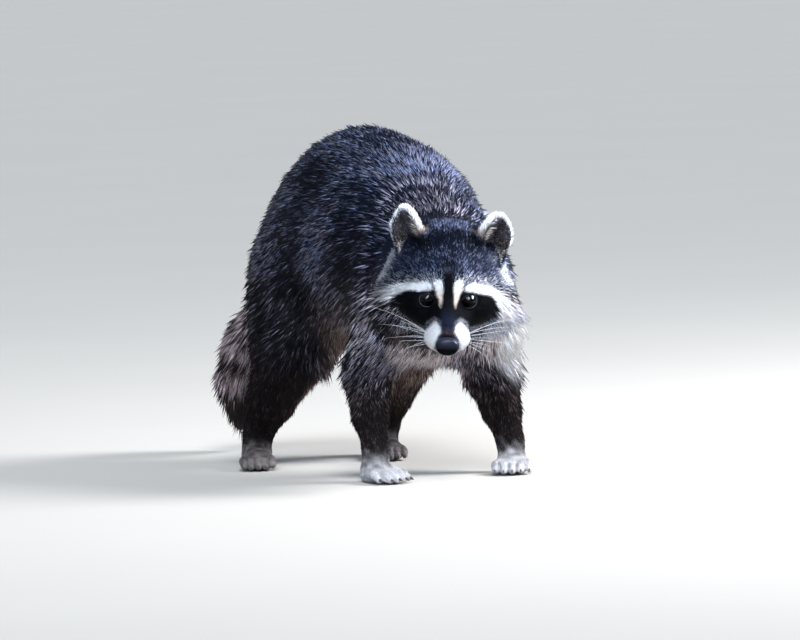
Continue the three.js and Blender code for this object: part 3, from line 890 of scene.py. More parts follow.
# Dark legs with pale hairs high up in front, tan inside the thighs, and pale feet.
def legMarking(points, normals):
    x, y, z = points.T
    hind = ramp(y, -0.05, 0.02)
    base = mix(palette["blueBlack"], palette["umber"], np.maximum(ramp(-z, -0.16, -0.08), 0.75 * hind))
    pale = mix(palette["silver"] * 1.95, palette["tan"] * 2.3, 0.40)
    pale = mix(pale, mix(palette["silver"], palette["tan"], 0.4) * 0.65, hind)
    pale = mix(pale, palette["brown"] * 3.0, ramp(-z, -0.150, -0.070))
    front = ramp(-y, 0.02, 0.08)
    many = 0.06 + 0.25 * ramp(z, 0.050, 0.150) * (0.40 + 0.85 * front) + 0.10 * front
    inward = -normals[:, 0] * np.sign(x)
    inner = ramp(np.maximum(inward, -normals[:, 1] * 0.9), 0.15, 0.7)
    inner *= ramp(y, 0.02, 0.06) * ramp(z, 0.04, 0.09) * np.where(x > 0, 1, ramp(inward, 0.1, 0.6))
    base = mix(base, palette["brown"], 0.8 * inner)
    pale = mix(pale, palette["tan"] * 1.3, inner)
    many += 0.32 * inner
    # the hind feet are darker and warmer than the forefeet
    fore = ramp(-y, -0.02, 0.02)
    foot = ramp(-z + 0.0030 * waves(points, 0.012, 14) - 0.006 * hind, -0.036, -0.005)
    tone = palette["pawGrey"] * mix(palette["hindWarmth"], 1, fore) * (0.36 + 0.44 * fore)[:, None]
    base = mix(base, tone * 0.7, foot)
    pale = mix(pale, tone, foot)
    many += 0.40 * foot
    return base, pale, many


# A dark neck, browner underneath, with a paler ruff on top.
def neckMarking(points, normals):
    low = ramp(-toHead(points)[:, 1], -25, 25)
    base = mix(palette["blueBlack"], palette["brown"] * 0.5, 0.4 * low)
    pale = mix(palette["silver"] * 1.1, palette["tan"] * 1.9, 0.4 * low)
    top = ruffTop(points, 0.7)
    return base, mix(pale, ruffPale, top), 0.17 + 0.15 * low + 0.27 * top


# For the face, also how solid its painted marks are. x and y are as seen from straight in front.
def faceMarking(points, normals):
    h = toHead(points)
    side, up, ahead = h.T
    x = np.abs(side)
    y = 0.970 * up - 0.242 * ahead
    front = ramp(ahead, -52, -30)
    base = mix(palette["slate"], palette["blueBlack"], 0.8)
    pale = palette["silver"] * 0.85
    many = np.full(len(points), 0.17)
    # the crown is darker and plainer than the forehead
    crown = ramp(up, 34, 52) * (1 - 0.85 * ramp(-ahead, 42, 66))
    base = mix(base, palette["blueBlack"] * 0.8, crown)
    many = many * (1 - 0.85 * crown)
    # whiter above the brows, with a dark line up the middle
    line = (1 - ramp(x, 3.5, 8.5)) * ramp(-y, -48, -32)
    nearBrow = ramp(-y, -28, -18) * (1 - 0.8 * line)
    pale = mix(pale, palette["white"] * 0.9, 0.7 * nearBrow)
    many = (many + 0.22 * nearBrow) * (1 - 0.75 * line)
    base = mix(base, palette["black"], 0.7 * line)
    # black at the feet of the ears
    black = np.exp(-((x - 24) / 6.5) ** 2 - ((y - 57) / 13.0) ** 2)
    base = mix(base, palette["black"], black)
    many = many * (1 - 0.9 * black)
    # some pale hairs again at the back of the head
    nape = ramp(y, 60, 70) * (1 - ramp(x, 16, 26))
    many = np.maximum(many, 0.36 * nape)
    # grizzled cheeks, below and behind the mask
    cheek = ramp(x, 26, 42) * ramp(-y, -14, 2) * ramp(y, -75, -35)
    base = mix(base, palette["umber"] * 1.3, 0.8 * cheek)
    pale = mix(pale, mix(palette["silver"], palette["white"], 0.6), cheek)
    # the left cheek, on the lit side, gets more pale hair and a paler base, and the outer right cheek fewer
    # pale hairs: painted light and shade over the grizzled fur
    thin = 1 - 0.48 * ramp(-side, 46, 58) * ramp(-y, -6, 6)
    many = np.maximum(many, (0.24 + 0.58 * ramp(side, 0, 20)) * cheek) * (1 - cheek + cheek * thin)
    base = mix(base, palette["silver"] * 0.45, 0.7 * cheek * ramp(side, 30, 45) * ramp(-y, -5, 15))
    # the outer edge of the left cheek is browner
    outer = cheek * ramp(side, 46, 60) * ramp(y, -14, 0)
    pale = mix(pale, palette["tan"] * 1.6, 0.45 * outer)
    base = mix(base, palette["brown"], 0.5 * outer)
    many = many * (1 - 0.30 * outer)
    # the band from the brow up to the ear's foot
    band = np.exp(-((x - np.where(side > 0, 51, 58) + 0.50 * (y - 31)) / 5.5) ** 2)
    band *= ramp(y, 8, 18) * ramp(-y, -52, -42)
    base = mix(base, palette["silver"] * 0.4, 0.4 * band)
    pale = mix(pale, palette["white"], band)
    many = np.maximum(many, 0.85 * band)
    # the throat and jaw
    throat = ramp(-up, 36, 48) * ramp(ahead, -40, 0)
    base = mix(base, palette["silver"] * 0.6, 0.6 * throat)
    many = np.maximum(many, 0.6 * throat)
    solid = np.zeros(len(points))

    # a solid mark, over whatever is there
    def paint(colour, cover):
        nonlocal base, pale, solid
        base = mix(base, colour, cover)
        pale = mix(pale, colour, cover)
        solid = np.maximum(solid * (1 - cover), cover)

    def outlined(outlines, soft):
        return np.where(side > 0, *(insideOutline(x, y, outlines[key], soft) for key in ("left", "right")))

    # white brows, then the wedges, the stripe, the bridge of the nose, the mask and the seam between the
    # brows and the wedges
    brow = outlined(browOutline, 3.4) * ramp(ahead, -70, -45)
    fade = 1 - 0.85 * ramp(x + 0.5 * np.maximum(-y, 0), 49, 68)
    paint(palette["white"], brow * fade)
    wedge = insideOutline(x, y, wedgeOutline, 2.0) * front
    stripe = (1 - ramp(x, 3.9, 5.6)) * ramp(-y, -36, -22) * ramp(y, -60, -50) * front
    bridge = (1 - ramp(x, 4.0, 9.5)) * ramp(-y, 7, 22) * ramp(ahead, -5, 5)
    mask = outlined(maskOutline, 1.8) * ramp(ahead, -45, -32)
    seam = (1 - ramp(np.abs(x - 14.6 - (y - 12) * 0.16), 0.2, 1.3)) * front
    seam *= ramp(y, 4, 8) * ramp(-y, -18, -14)
    paint(palette["black"], np.maximum(mask, stripe))
    paint(palette["slate"] * 0.45, bridge)
    tawny = (1 - ramp(x, 7, 10)) * ramp(-y, 27, 34) * ramp(ahead, 30, 38)
    paint(palette["brown"] * 0.9, 0.55 * tawny)
    paint(mix(palette["white"] * 0.85, palette["wedgeLow"], ramp(-y, -14, -2)), wedge)
    paint(palette["black"], seam * 0.85)
    muzzle = insideOutline(x, y, muzzleOutline, 2.6) * ramp(ahead, 4, 12)
    lip = ramp(-y, 46, 54) * ramp(ahead, 0, 14) * ramp(x, 8, 13)
    blush = mix(palette["white"], palette["blush"], ramp(y, -29, -19))
    paint(blush * (1 + 0.05 * waves(points, 0.004, 31))[:, None], np.maximum(muzzle, lip))
    return base, pale, many, solid


# Dark backs, white rims, and grey-brown hollows with pale hair at their edges.
def earMarking(points, normals):
    n = len(points)
    base = np.tile(palette["blueBlack"], (n, 1))
    pale = np.tile(palette["silver"], (n, 1))
    many = np.full(n, 0.20)
    solid = np.zeros(n)
    for side, mine, across, tall, out in bothEars(points):
        rim = np.hypot(across, tall)
        medial = ramp(-across, 0.0, 0.6)
        front = ramp(out, -9.5, -7.0)
        inside = ramp(-rim, -0.93, -0.86) * front
        white = ramp(rim, 0.88, 0.96) * ramp(tall, -0.45, -0.10) * (1 - front)
        frontRim = ramp(rim + 0.05 * medial, 0.90, 0.98) * ramp(tall + 0.35 * (1 - medial), -0.05, 0.30)
        white = np.maximum(white, frontRim * front)
        # painted shade in the lower outer part of the hollow, darkening its grey-brown skin
        deep = ramp(-tall, -0.45, 0.25) * ramp(across, -0.55, -0.10)
        inBase = mix(palette["earInside"], palette["earHollowShade"], deep)
        inner = ramp(-across, 0.56, 0.82) * ramp(tall, -0.15, 0.25)
        inBase = mix(inBase, palette["cream"] * 0.4, inner * 0.6)
        rimTone = mix(palette["white"], palette["rimFoot"], medial * ramp(-tall, -0.50, 0.0))
        inPale = mix(palette["earHair"], palette["cream"] * 0.6, inner)
        # pale hair at the outer foot, more in the right ear, and dark hair at the inner one
        outer = inside * ramp(-tall, 0.0, 0.45) * ramp(across, -0.35, 0.15)
        inPale = mix(inPale, palette["earFootHair"], outer)
        many = np.where(mine, many + (0.40 if side == "right" else 0.20) * outer, many)
        foot = medial * ramp(-tall, -0.10, 0.20)
        inBase = mix(inBase, palette["black"], foot)
        inPale = mix(inPale, palette["umber"], foot)
        base = np.where(mine[:, None], mix(mix(base, inBase, inside), rimTone, white), base)
        pale = np.where(mine[:, None], mix(mix(pale, inPale, inside), rimTone, white), pale)
        solid = np.where(mine, white, solid)
    return base, pale, many, solid


# Pale brown, with dark rings and a dark tip.
def tailMarking(points, normals):
    fraction, _ = alongTail(points)
    wobble = 0.014 * waves(points, 0.05, 71)
    phase = (fraction + wobble - tailPlan["firstRing"]) / (1 - tailPlan["firstRing"]) * tailPlan["rings"]
    ring = ramp(np.cos(2 * math.pi * phase), -0.35, 0.65)
    tip = ramp(fraction, tailPlan["darkTip"] - 0.04, tailPlan["darkTip"])
    ring = np.maximum(ring * ramp(fraction, 0.05, 0.14), tip)
    base = mix(palette["brown"] * 2.2, palette["umber"] * 1.5, ring)
    pale = mix(palette["tailPale"], palette["brown"] * 0.6, ring)
    return base, pale, 0.80 - 0.44 * ring


markings = {"trunk": bodyMarking, "neck": neckMarking, "upperLeg": legMarking, "lowerLeg": legMarking,
            "paw": legMarking, "tail": tailMarking, "head": faceMarking, "ear": earMarking}


# The colours of the lower part and of the pale band of the hairs that grow at these points.
def coatColour(points, normals, portion, luck, tone, soft):
    n = len(points)
    base, pale, many, solid = np.zeros((n, 3)), np.zeros((n, 3)), np.zeros(n), np.zeros(n)
    for name in regions:
        on = portion[name] > 0.004
        if not on.any():
            continue
        w = portion[name][on]
        baseHere, paleHere, manyHere, *solidHere = markings[name](points[on], normals[on])
        base[on] += baseHere * w[:, None]
        pale[on] += paleHere * w[:, None]
        many[on] += manyHere * w
        if solidHere:
            solid[on] += solidHere[0] * w
    total = sum(portion[name] for name in regions)[:, None]
    base, pale = base / total, pale / total
    # painted shade, dark inside the left shoulder, and white outside it
    shade = np.maximum(blob(points, "armpit"), blob(points, "innerShoulder"))
    base = mix(base, palette["umber"] * 1.3, 0.9 * shade)
    pale = mix(pale, palette["silver"] * 1.1, 0.6 * shade)
    many = many * (1 - shade) + 0.26 * shade
    white = ramp(leftShoulder(points), 0.0, 0.80)
    white *= ramp(points[:, 2] + 0.9 * (points[:, 0] - 0.10), 0.077, 0.099)
    base = mix(base, palette["white"], 0.95 * white)
    pale = mix(pale, palette["white"], white)
    many = np.maximum(many, white)
    # a hair is pale if its luck is below the share of pale hairs there, and half pale near it
    share = np.clip(many, 0, 1.1) * 1.1 + 0.08 * waves(points, 0.012, 22)
    lit = ramp((share - luck) / soft * 0.5 + 0.4, 0, 1)
    lit = np.maximum(lit, 0.6 * ramp(solid, 0.35, 0.75))
    strength = np.exp(tone * (1 - 0.3 * solid))[:, None]
    return np.clip(base * strength, 0, 0.92), np.clip(mix(base, pale, lit) * strength, 0, 0.92)


# materials
# A shader node group, with its inputs' names and first values, and its outputs' names and kinds.
def newGroup(name, inputs, outputs):
    tree = bpy.data.node_groups.new(name, "ShaderNodeTree")
    for label, value in inputs.items():
        kind = "NodeSocketColor" if isinstance(value, tuple) else "NodeSocketFloat"
        tree.interface.new_socket(name=label, in_out="INPUT", socket_type=kind).default_value = value
    for label, kind in outputs.items():
        tree.interface.new_socket(name=label, in_out="OUTPUT", socket_type=kind)
    return tree, tree.nodes.new("NodeGroupInput").outputs, tree.nodes.new("NodeGroupOutput")


# Streaks and specks of lighter and darker hair: gives a colour, a roughness and a height.
def buildHairGroup():
    tree, given, end = newGroup(
        "hair_grain", {"Colour": (0.1, 0.1, 0.1, 1), "Grain": 900.0, "Contrast": 0.4, "Roughness": 0.5},
        {"Colour": "NodeSocketColor", "Roughness": "NodeSocketFloat", "Height": "NodeSocketFloat"})
    noise = addNoise(tree, given["Grain"]).outputs["Fac"]
    centred = addNode(tree, "Math", {0: noise, 1: 0.5}, operation="SUBTRACT").outputs[0]
    strength = addNode(tree, "Math", {0: centred, 1: given["Contrast"], 2: 1.0}, operation="MULTIPLY_ADD")
    tint = addNode(tree, "VectorMath", operation="SCALE")
    feed(tree, tint, {0: given["Colour"], "Scale": strength.outputs[0]})
    rough = addNode(tree, "Math", {0: centred, 1: 0.25, 2: given["Roughness"]}, operation="MULTIPLY_ADD")
    feed(tree, end, {"Colour": tint.outputs["Vector"], "Roughness": rough.outputs[0], "Height": noise})
    return tree


# Along a hair, from its root at 0 to its tip at 1: how much its pale band shows, and how light it is,
# darkened towards the root as painted shade.
bandPlan = {"pale": [(0.50, 0.0), (0.64, 1.0), (0.84, 1.0), (1.0, 0.20)], "light": [(0.0, 0.40), (0.40, 1.0)]}


# A hair's colours along it: painted shade at the root, then its lower colour, its pale band and its tip.
def buildBandGroup():
    tree, given, end = newGroup(
        "hair_band", {"Lower": (0.02, 0.02, 0.02, 1), "Band": (0.4, 0.4, 0.4, 1), "Along": 0.5},
        {"Colour": "NodeSocketColor"})
    pale, light = (addTones(tree, given["Along"], [(place, [value] * 3) for place, value in bandPlan[name]])
                   for name in ("pale", "light"))
    blend = addMix(tree, "MIX", pale, given["Lower"], given["Band"])
    # the second ramp darkens the lower part of the hair as painted shade
    feed(tree, end, {"Colour": addMix(tree, "MULTIPLY", 1.0, blend, light)})
    return tree


hairGroup = buildHairGroup()
bandGroup = buildBandGroup()


def furMaterial(name, grain, contrast, roughness, gloss, bump=0.0, banded=False):
    material, tree, shader = newMaterial(name)
    colour = readAttribute(tree, "coatColour", "Color")
    if banded:
        band = addNode(tree, "Group", node_tree=bandGroup)
        feed(tree, band, {"Lower": colour, "Band": readAttribute(tree, "bandColour", "Color"),
                          "Along": readAttribute(tree, "along")})
        colour = band.outputs["Colour"]
    hair = addNode(tree, "Group", node_tree=hairGroup)
    feed(tree, hair, {"Colour": colour, "Grain": grain, "Contrast": contrast, "Roughness": roughness})
    feed(tree, shader, {"Specular IOR Level": gloss, "Base Color": hair.outputs["Colour"],
                        "Roughness": hair.outputs["Roughness"]})
    if bump:
        addBump(tree, shader, hair.outputs["Height"], bump, 0.0006)
    return material


materials = {
    "skin": furMaterial("short_underfur", grain=2600, contrast=0.9, roughness=0.80, gloss=0.08, bump=0.5),
    "coat": furMaterial("guard_hair", grain=700, contrast=0.5, roughness=0.50, gloss=0.12, banded=True),
    "face": furMaterial("face_hair", grain=1100, contrast=0.5, roughness=0.62, gloss=0.06, banded=True),
}


def addFloats(mesh, name, values):
    layer = mesh.attributes.new(name, "FLOAT", "POINT")
    layer.data.foreach_set("value", np.asarray(values, np.float32))


def addColours(mesh, name, colours):
    layer = mesh.color_attributes.new(name, "FLOAT_COLOR", "POINT")
    rgba = np.ones((len(colours), 4), np.float32)
    rgba[:, :3] = colours
    layer.data.foreach_set("color", rgba.ravel())


# Gives a finished piece its material, puts it under the root, and hides the nodes that it stands for.
def finishPiece(piece, material, slot, *nodes):
    piece.data.materials.append(materials[material])
    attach(piece, "root")
    if nodes:
        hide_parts(*nodes)


# The skin shows between the hairs, so it has a blend of their two colours.
skinUnder, skinBand = coatColour(skinPoints, skinNormals, portion, 0.5, np.zeros(len(skinPoints)), 0.2)
addColours(skin.data, "coatColour", smoothOver(skinUnder * 0.6 + skinBand * 0.4, skinEdges, 1))
skin.data.materials.clear()
# the tufts grow from the fine skin, and the skin that is kept under them is lighter
useModifier(skin, "DECIMATE", ratio=skinPlan["kept"])
bpy.ops.object.shade_smooth()
finishPiece(skin, "skin", "body_fur", *fleshNodes)
report(f"skin coloured, {len(skin.data.polygons)} triangles kept")


# the lie of the coat
# The way the nearest paw points.
def pawWay(points):
    best = np.full(len(points), 1e9)
    way = np.zeros((len(points), 3))
    for plan in pawPlan.values():
        away = np.hypot(points[:, 0] - plan["at"][0], points[:, 1] - plan["at"][1])
        turn = math.radians(plan["turn"])
        closer = away < best
        best[closer] = away[closer]
        way[closer] = (math.sin(turn), -math.cos(turn), -0.35)
    return way


# Down the legs: the hair of the shoulders is swept outwards and back, that of the thighs back.
def legWay(points):
    x, y, z = points.T
    fore = ramp(-y, 0.03, 0.09)
    high = ramp(z, 0.07, 0.14)
    return np.stack([np.sign(x) * 0.75 * fore * high, 0.38 + 0.2 * (1 - fore) * high, -0.92 + 0.2 * high], 1)


def coatWay(points, normals):
    n = len(points)
    h = toHead(points)
    fromNose = unit((h - np.array([0, -14, 58])) * (1.25, 0.85, 1.0))
    fromNose[:, 1] -= 0.75 * ramp(-h[:, 1], -14, 8) * ramp(np.abs(h[:, 0]), 18, 40)
    headWay = unit(fromNose) @ headAxes
    fall = -0.22 - 0.55 * ramp(-points[:, 2], -0.27, -0.13)
    ways = {
        "trunk": np.stack([np.zeros(n), np.full(n, 0.85), fall], 1),
        "neck": unit(0.9 * unit(headWay) + 0.5 * np.array([0, 0.5, -0.6])),
        "head": headWay,
        "tail": alongTail(points)[1],
        "upperLeg": legWay(points),
        "lowerLeg": np.tile((0.0, 0.06, -1.0), (n, 1)),
        "paw": pawWay(points),
        "ear": np.zeros((n, 3)),
    }
    # up and outwards on the ears, but across them along the inner edge of their hollows
    for side, mine, across, tall, out in bothEars(points):
        crossing = ramp(out, -8, -4) * ramp(-across, 0.0, 0.4) * ramp(-np.hypot(across, tall), -0.93, -0.84)
        outwards = (across * 1.1 * (1 - crossing) + 0.9 * crossing) * (1 if side == "left" else -1)
        local = np.stack([outwards, 0.55 + 0.8 * tall, np.zeros(n)], 1)
        ways["ear"][mine] = (local @ earAxes(side) @ headAxes)[mine]
    way = sum(portion[name][:, None] * unit(ways[name]) for name in regions)
    way -= normals * dot(way, normals)[:, None]
    way = smoothOver(way, skinEdges, 10)
    # slow swirls, more where the coat is long
    swirl = 0.13 * waves(points, 0.050, 31) * ramp(coatLength(points, portion), 0.006, 0.02)
    way -= normals * dot(way, normals)[:, None]
    way = unit(way)
    return way * np.cos(swirl)[:, None] + np.cross(normals, way) * np.sin(swirl)[:, None]


skinWay = coatWay(skinPoints, skinNormals)
skinLength = coatLength(skinPoints, portion)
skinDepth = coatDepth(skinLength, skinPoints, portion)
report("lie of the coat")


# tufts
# True where no hair grows: inside the lids, under the nose and on the soles.
def bareSkin(points):
    bare = (points[:, 2] < coatPlan["soleBare"]) | (noseDistance(points) < coatPlan["noseBare"])
    for side in ("left", "right"):
        reach, _, _, past = roundEye(points, side)
        bare |= (reach < coatPlan["eyeBare"]) & (past < coatPlan["lidBare"])
    return bare


# Where the tufts grow: a triangle of the skin and a place in it for each.
def placeTufts():
    maker = np.random.default_rng(1)
    corners = skinPoints[skinFaces]
    area = np.linalg.norm(np.cross(corners[:, 1] - corners[:, 0], corners[:, 2] - corners[:, 0]), axis=1) / 2
    length = skinLength[skinFaces].mean(1)
    weight = 1 + sum(coatPlan["crowd"][name] * portion[name][skinFaces].mean(1) for name in coatPlan["crowd"])
    crowd = area * (coatPlan["closeAt"] / length) ** coatPlan["closer"] * weight
    crowd[bareSkin(corners.mean(1))] = 0
    total = np.cumsum(crowd)
    picks = (np.arange(coatPlan["tufts"]) + maker.random(coatPlan["tufts"])) / coatPlan["tufts"] * total[-1]
    face = np.searchsorted(total, picks)
    u, v = maker.random((2, len(face)))
    over = u + v > 1
    u[over], v[over] = 1 - u[over], 1 - v[over]
    return face, np.stack([1 - u - v, u, v], 1)


tuftFace, tuftPlace = placeTufts()


def atTufts(values):
    values = np.asarray(values)
    corners = values[skinFaces[tuftFace]]
    return (corners * (tuftPlace[:, :, None] if corners.ndim == 3 else tuftPlace)).sum(1)


tuftPoint = atTufts(skinPoints)
tuftNormal = unit(atTufts(skinNormals))
tuftWay = atTufts(skinWay)
tuftWay = unit(tuftWay - tuftNormal * dot(tuftWay, tuftNormal)[:, None])
tuftLength = atTufts(skinLength)
tuftDepth = atTufts(skinDepth)
tuftPortion = {name: atTufts(portion[name]) for name in regions}
report(f"{len(tuftPoint)} tufts placed")

tuftPlan = {
    # a tuft's width, at least and by the root of its length in mm, where it bends, and how tufts differ
    "width": (0.00018, 0.000062), "bendAt": 0.36, "spread": 0.13, "long": 0.16, "hang": 0.20,
    # the angles at which its lower part and its upper part stand off their lie
    "rootLift": 0.15, "tipLift": -0.08, "liftSpread": 0.16,
    # locks: the tufts in each, how strongly and from how far they are drawn to its leader, and how far
    # apart their tips and bends stay
    "lockSize": 5, "lock": 0.62, "lockReach": 0.012, "tipsApart": 0.22, "bendsApart": 0.7,
    # strays: how many, how much they stand off, and their size and width
    "stray": 0.08, "strayLift": 0.09, "straySize": 1.20, "strayWidth": 0.55,
    # how ragged the edges of markings are
    "edge": 0.20, "jitter": 0.0006,
}


# The tuft that leads each tuft's lock, and how much it is drawn to it.
def gatherLocks():
    maker = np.random.default_rng(3)
    n = len(tuftPoint)
    guides = maker.choice(n, n // tuftPlan["lockSize"], replace=False)
    tree = KDTree(len(guides))
    for i, point in enumerate(tuftPoint[guides].tolist()):
        tree.insert(point, i)
    tree.balance()
    lead = guides[[tree.find(point)[1] for point in tuftPoint.tolist()]]
    apart = np.linalg.norm(tuftPoint - tuftPoint[lead], axis=1)
    same = (dot(tuftNormal, tuftNormal[lead]) > 0.6) & (apart < tuftPlan["lockReach"])
    pull = tuftPlan["lock"] * tuftLocky * maker.uniform(0.4, 1.0, n)
    return lead, np.where(same, pull, 0)


# How far the hair hangs in separate locks: most on the neck, breast and forelegs, little on the back.
def lockiness():
    _, y, z = tuftPoint.T
    share = tuftPortion["trunk"] * (0.08 + 0.35 * ramp(-z, -0.23, -0.14) + 0.6 * breastShare(tuftPoint))
    share += 0.8 * tuftPortion["neck"] + 0.15 * tuftPortion["tail"]
    share += tuftPortion["upperLeg"] * (0.12 + 0.45 * ramp(-y, 0.02, 0.08)) + 0.3 * tuftPortion["lowerLeg"]
    share += 0.7 * tuftPortion["head"] * ramp(tuftLength, 0.009, 0.018)
    return np.clip(share, 0, 1) * ramp(tuftLength, 0.007, 0.014)


tuftLocky = lockiness()
tuftLead, tuftPull = gatherLocks()


# The four points of each tuft: its root, the two sides of its bend, and its tip.
def shapeTufts():
    maker = np.random.default_rng(2)
    n = len(tuftPoint)
    spin = maker.normal(0, tuftPlan["spread"], n) * (0.6 + 0.5 * ramp(tuftLength, 0.003, 0.02))
    way = tuftWay * np.cos(spin)[:, None] + np.cross(tuftNormal, tuftWay) * np.sin(spin)[:, None]
    size = tuftLength * np.exp(maker.normal(0, tuftPlan["long"], n).clip(-0.4, 0.25))
    # strays stand out of the coat singly: none leads a lock or belongs to one
    stray = maker.random(n) < tuftPlan["stray"] * (1 - 0.6 * tuftPortion["head"])
    stray &= tuftLead != np.arange(n)
    pull = np.where(stray, 0, tuftPull)
    lift = np.arcsin(np.clip(tuftDepth / tuftLength, 0.12, 0.45))
    lift = lift * (1 + tuftPlan["liftSpread"] * maker.normal(size=n)) + tuftPlan["strayLift"] * stray
    size = np.where(stray, size * tuftPlan["straySize"], size)
    lift += (0.30 + 0.25 * earTuftShare(tuftPoint) + 0.35 * maker.random(n) ** 3) * tuftPortion["ear"]
    bend = tuftPlan["bendAt"]

    def leaning(angle):
        return way * np.cos(angle)[:, None] + tuftNormal * np.sin(angle)[:, None]

    rise = leaning(lift + tuftPlan["rootLift"])
    hang = (ramp(size, 0.008, 0.026) * tuftPlan["hang"])[:, None] * np.array([0, 0, -1.0])
    rest = unit(unit(leaning(lift + tuftPlan["tipLift"])) + hang)
    knee = tuftPoint + rise * (size * bend)[:, None]
    tip = knee + rest * (size * (1 - bend))[:, None]
    apart = tuftPoint - tuftPoint[tuftLead]
    tip = mix(tip, tip[tuftLead] + apart * tuftPlan["tipsApart"], pull)
    knee = mix(knee, knee[tuftLead] + apart * tuftPlan["bendsApart"], pull * 0.4)
    wide = (tuftPlan["width"][0] + tuftPlan["width"][1] * np.sqrt(tuftLength * 1000))
    wide = wide * np.exp(maker.normal(0, 0.2, n)) * np.where(stray, tuftPlan["strayWidth"], 1)
    along = unit(tip - tuftPoint)
    across = unit(np.cross(along, tuftNormal)) * (wide / 2)[:, None]
    above = unit(np.cross(across, along)) * (wide * 0.35)[:, None]
    root = tuftPoint - tuftNormal * 0.0004 - along * 0.0006
    points = np.stack([root, knee + across + above, knee - across + above, tip], 1)
    points[:, :, 2] = np.maximum(points[:, :, 2], 0.0005)
    return points


tuftShape = shapeTufts()
luckMaker = np.random.default_rng(4)
ownLuck = luckMaker.random(len(tuftPoint)) - 0.5
lockLuck = luckMaker.random(len(tuftPoint))[tuftLead] - 0.5
tuftLuck = 0.5 + (0.15 + 0.70 * tuftLocky) * lockLuck + (0.90 - 0.50 * tuftLocky) * ownLuck
tuftTone = (0.24 + 0.10 * tuftPortion["head"] + 0.20 * tuftPortion["ear"]) * np.sin(ownLuck * 91.7)
tuftTone += 0.26 * lockLuck * ramp(tuftLength, 0.006, 0.012)
# the markings are read a little way along each tuft, further on some, so their edges are ragged
reach = 0.36 + 0.26 * tuftPortion["head"] * ramp(tuftLength, 0.007, 0.015)
reach = tuftLength * (reach + tuftPlan["edge"] * luckMaker.normal(size=len(tuftPoint)))
tuftSeen = tuftPoint + tuftWay * reach[:, None] + luckMaker.normal(0, tuftPlan["jitter"], tuftPoint.shape)
tuftUnder, tuftBand = coatColour(tuftSeen, tuftNormal, tuftPortion, tuftLuck, tuftTone,
                                 0.20 - 0.13 * tuftLocky)
report("tufts shaped and coloured")

# the corners of a tuft's four faces, and where its points lie on the map, round its own spot
tuftFaces = np.array([(0, 1, 2), (1, 3, 2), (0, 3, 1), (0, 2, 3)])
tuftPatch = np.array([(0, -1), (-0.8, -0.3), (0.8, -0.3), (0, 1)]) * 0.0015


# Which piece of the coat each point belongs to.
def pieceOf(points, portion):
    names = {"upperLeg": "upper_legs", "lowerLeg": "lower_legs", "paw": "paws", "ear": "ears"}
    main = np.argmax(np.stack([portion[name] for name in regions], 1), 1)
    pieces = np.array([names.get(name, name) for name in regions], object)[main]
    trunk, head = pieces == "trunk", pieces == "head"
    x, y, _ = points.T
    for end, here in (("front", y < 0), ("rear", y >= 0)):
        pieces[trunk & here & (x < 0)] = f"trunk_{end}_right"
        pieces[trunk & here & (x >= 0)] = f"trunk_{end}_left"
    _, up, ahead = toHead(points).T
    pieces[head & (ahead >= -14)] = "face"
    pieces[head & (ahead < -14) & (up > 8)] = "crown"
    pieces[head & (ahead < -14) & (up <= 8)] = "cheeks"
    return pieces


# An unwrap of these triangles of the skin, as the corners' places on the map.
def unwrapPiece(faces):
    used, corners = np.unique(faces, return_inverse=True)
    mesh = bpy.data.meshes.new("unwrap")
    mesh.from_pydata(skinPoints[used].tolist(), [], corners.reshape(-1, 3).tolist())
    mesh.uv_layers.new(name="OFBake")
    obj = addObject("unwrap", mesh)
    editWhole(obj, bpy.ops.uv.smart_project, angle_limit=math.radians(66), island_margin=0.004)
    places = np.empty(len(mesh.loops) * 2, np.float32)
    mesh.uv_layers["OFBake"].data.foreach_get("uv", places)
    bpy.data.objects.remove(obj)
    return places.reshape(-1, 3, 2)


def triangleMesh(name, points, faces):
    mesh = bpy.data.meshes.new(name)
    mesh.vertices.add(len(points))
    mesh.vertices.foreach_set("co", points.astype(np.float32).ravel())
    mesh.loops.add(len(faces) * 3)
    mesh.loops.foreach_set("vertex_index", faces.astype(np.int32).ravel())
    mesh.polygons.add(len(faces))
    mesh.polygons.foreach_set("loop_start", np.arange(0, len(faces) * 3, 3, dtype=np.int32))
    mesh.polygons.foreach_set("use_smooth", np.ones(len(faces), bool))
    mesh.update(calc_edges=True)
    return addObject(name, mesh)


slots = {"ears": "ear_fur", "paws": "paw_fur", "upper_legs": "leg_fur", "lower_legs": "leg_fur"}
shortPieces = ("face", "crown", "cheeks", "ears", "paws")


def buildCoat():
    bend = tuftPlan["bendAt"]
    facePortion = {name: portion[name][skinFaces].mean(1) for name in regions}
    facePiece = pieceOf(skinPoints[skinFaces].mean(1), facePortion)
    for name in sorted(set(facePiece)):
        mine = np.where(facePiece == name)[0]
        position = np.full(len(skinFaces), -1)
        position[mine] = np.arange(len(mine))
        chosen = np.where(position[tuftFace] >= 0)[0]
        if not len(chosen):
            continue
        points = tuftShape[chosen].reshape(-1, 3)
        faces = (tuftFaces[None] + 4 * np.arange(len(chosen))[:, None, None]).reshape(-1, 3)
        obj = triangleMesh("coat_" + name, points, faces)
        addColours(obj.data, "coatColour", np.repeat(tuftUnder[chosen], 4, axis=0))
        addColours(obj.data, "bandColour", np.repeat(tuftBand[chosen], 4, axis=0))
        addFloats(obj.data, "along", np.tile([0, bend, bend, 1], len(chosen)))
        # each tuft has the spot on the map where it grows on the skin
        corners = unwrapPiece(skinFaces[mine])[position[tuftFace[chosen]]]
        spot = np.clip((corners * tuftPlace[chosen][:, :, None]).sum(1), 0.002, 0.998)
        uv = (spot[:, None, None, :] + tuftPatch[tuftFaces][None]).astype(np.float32)
        obj.data.uv_layers.new(name="OFBake").data.foreach_set("uv", uv.ravel())
        finishPiece(obj, "face" if name in shortPieces else "coat", slots.get(name, "body_fur"))
        print(f"  {obj.name}: {len(faces)} triangles")


buildCoat()
report("coat built")


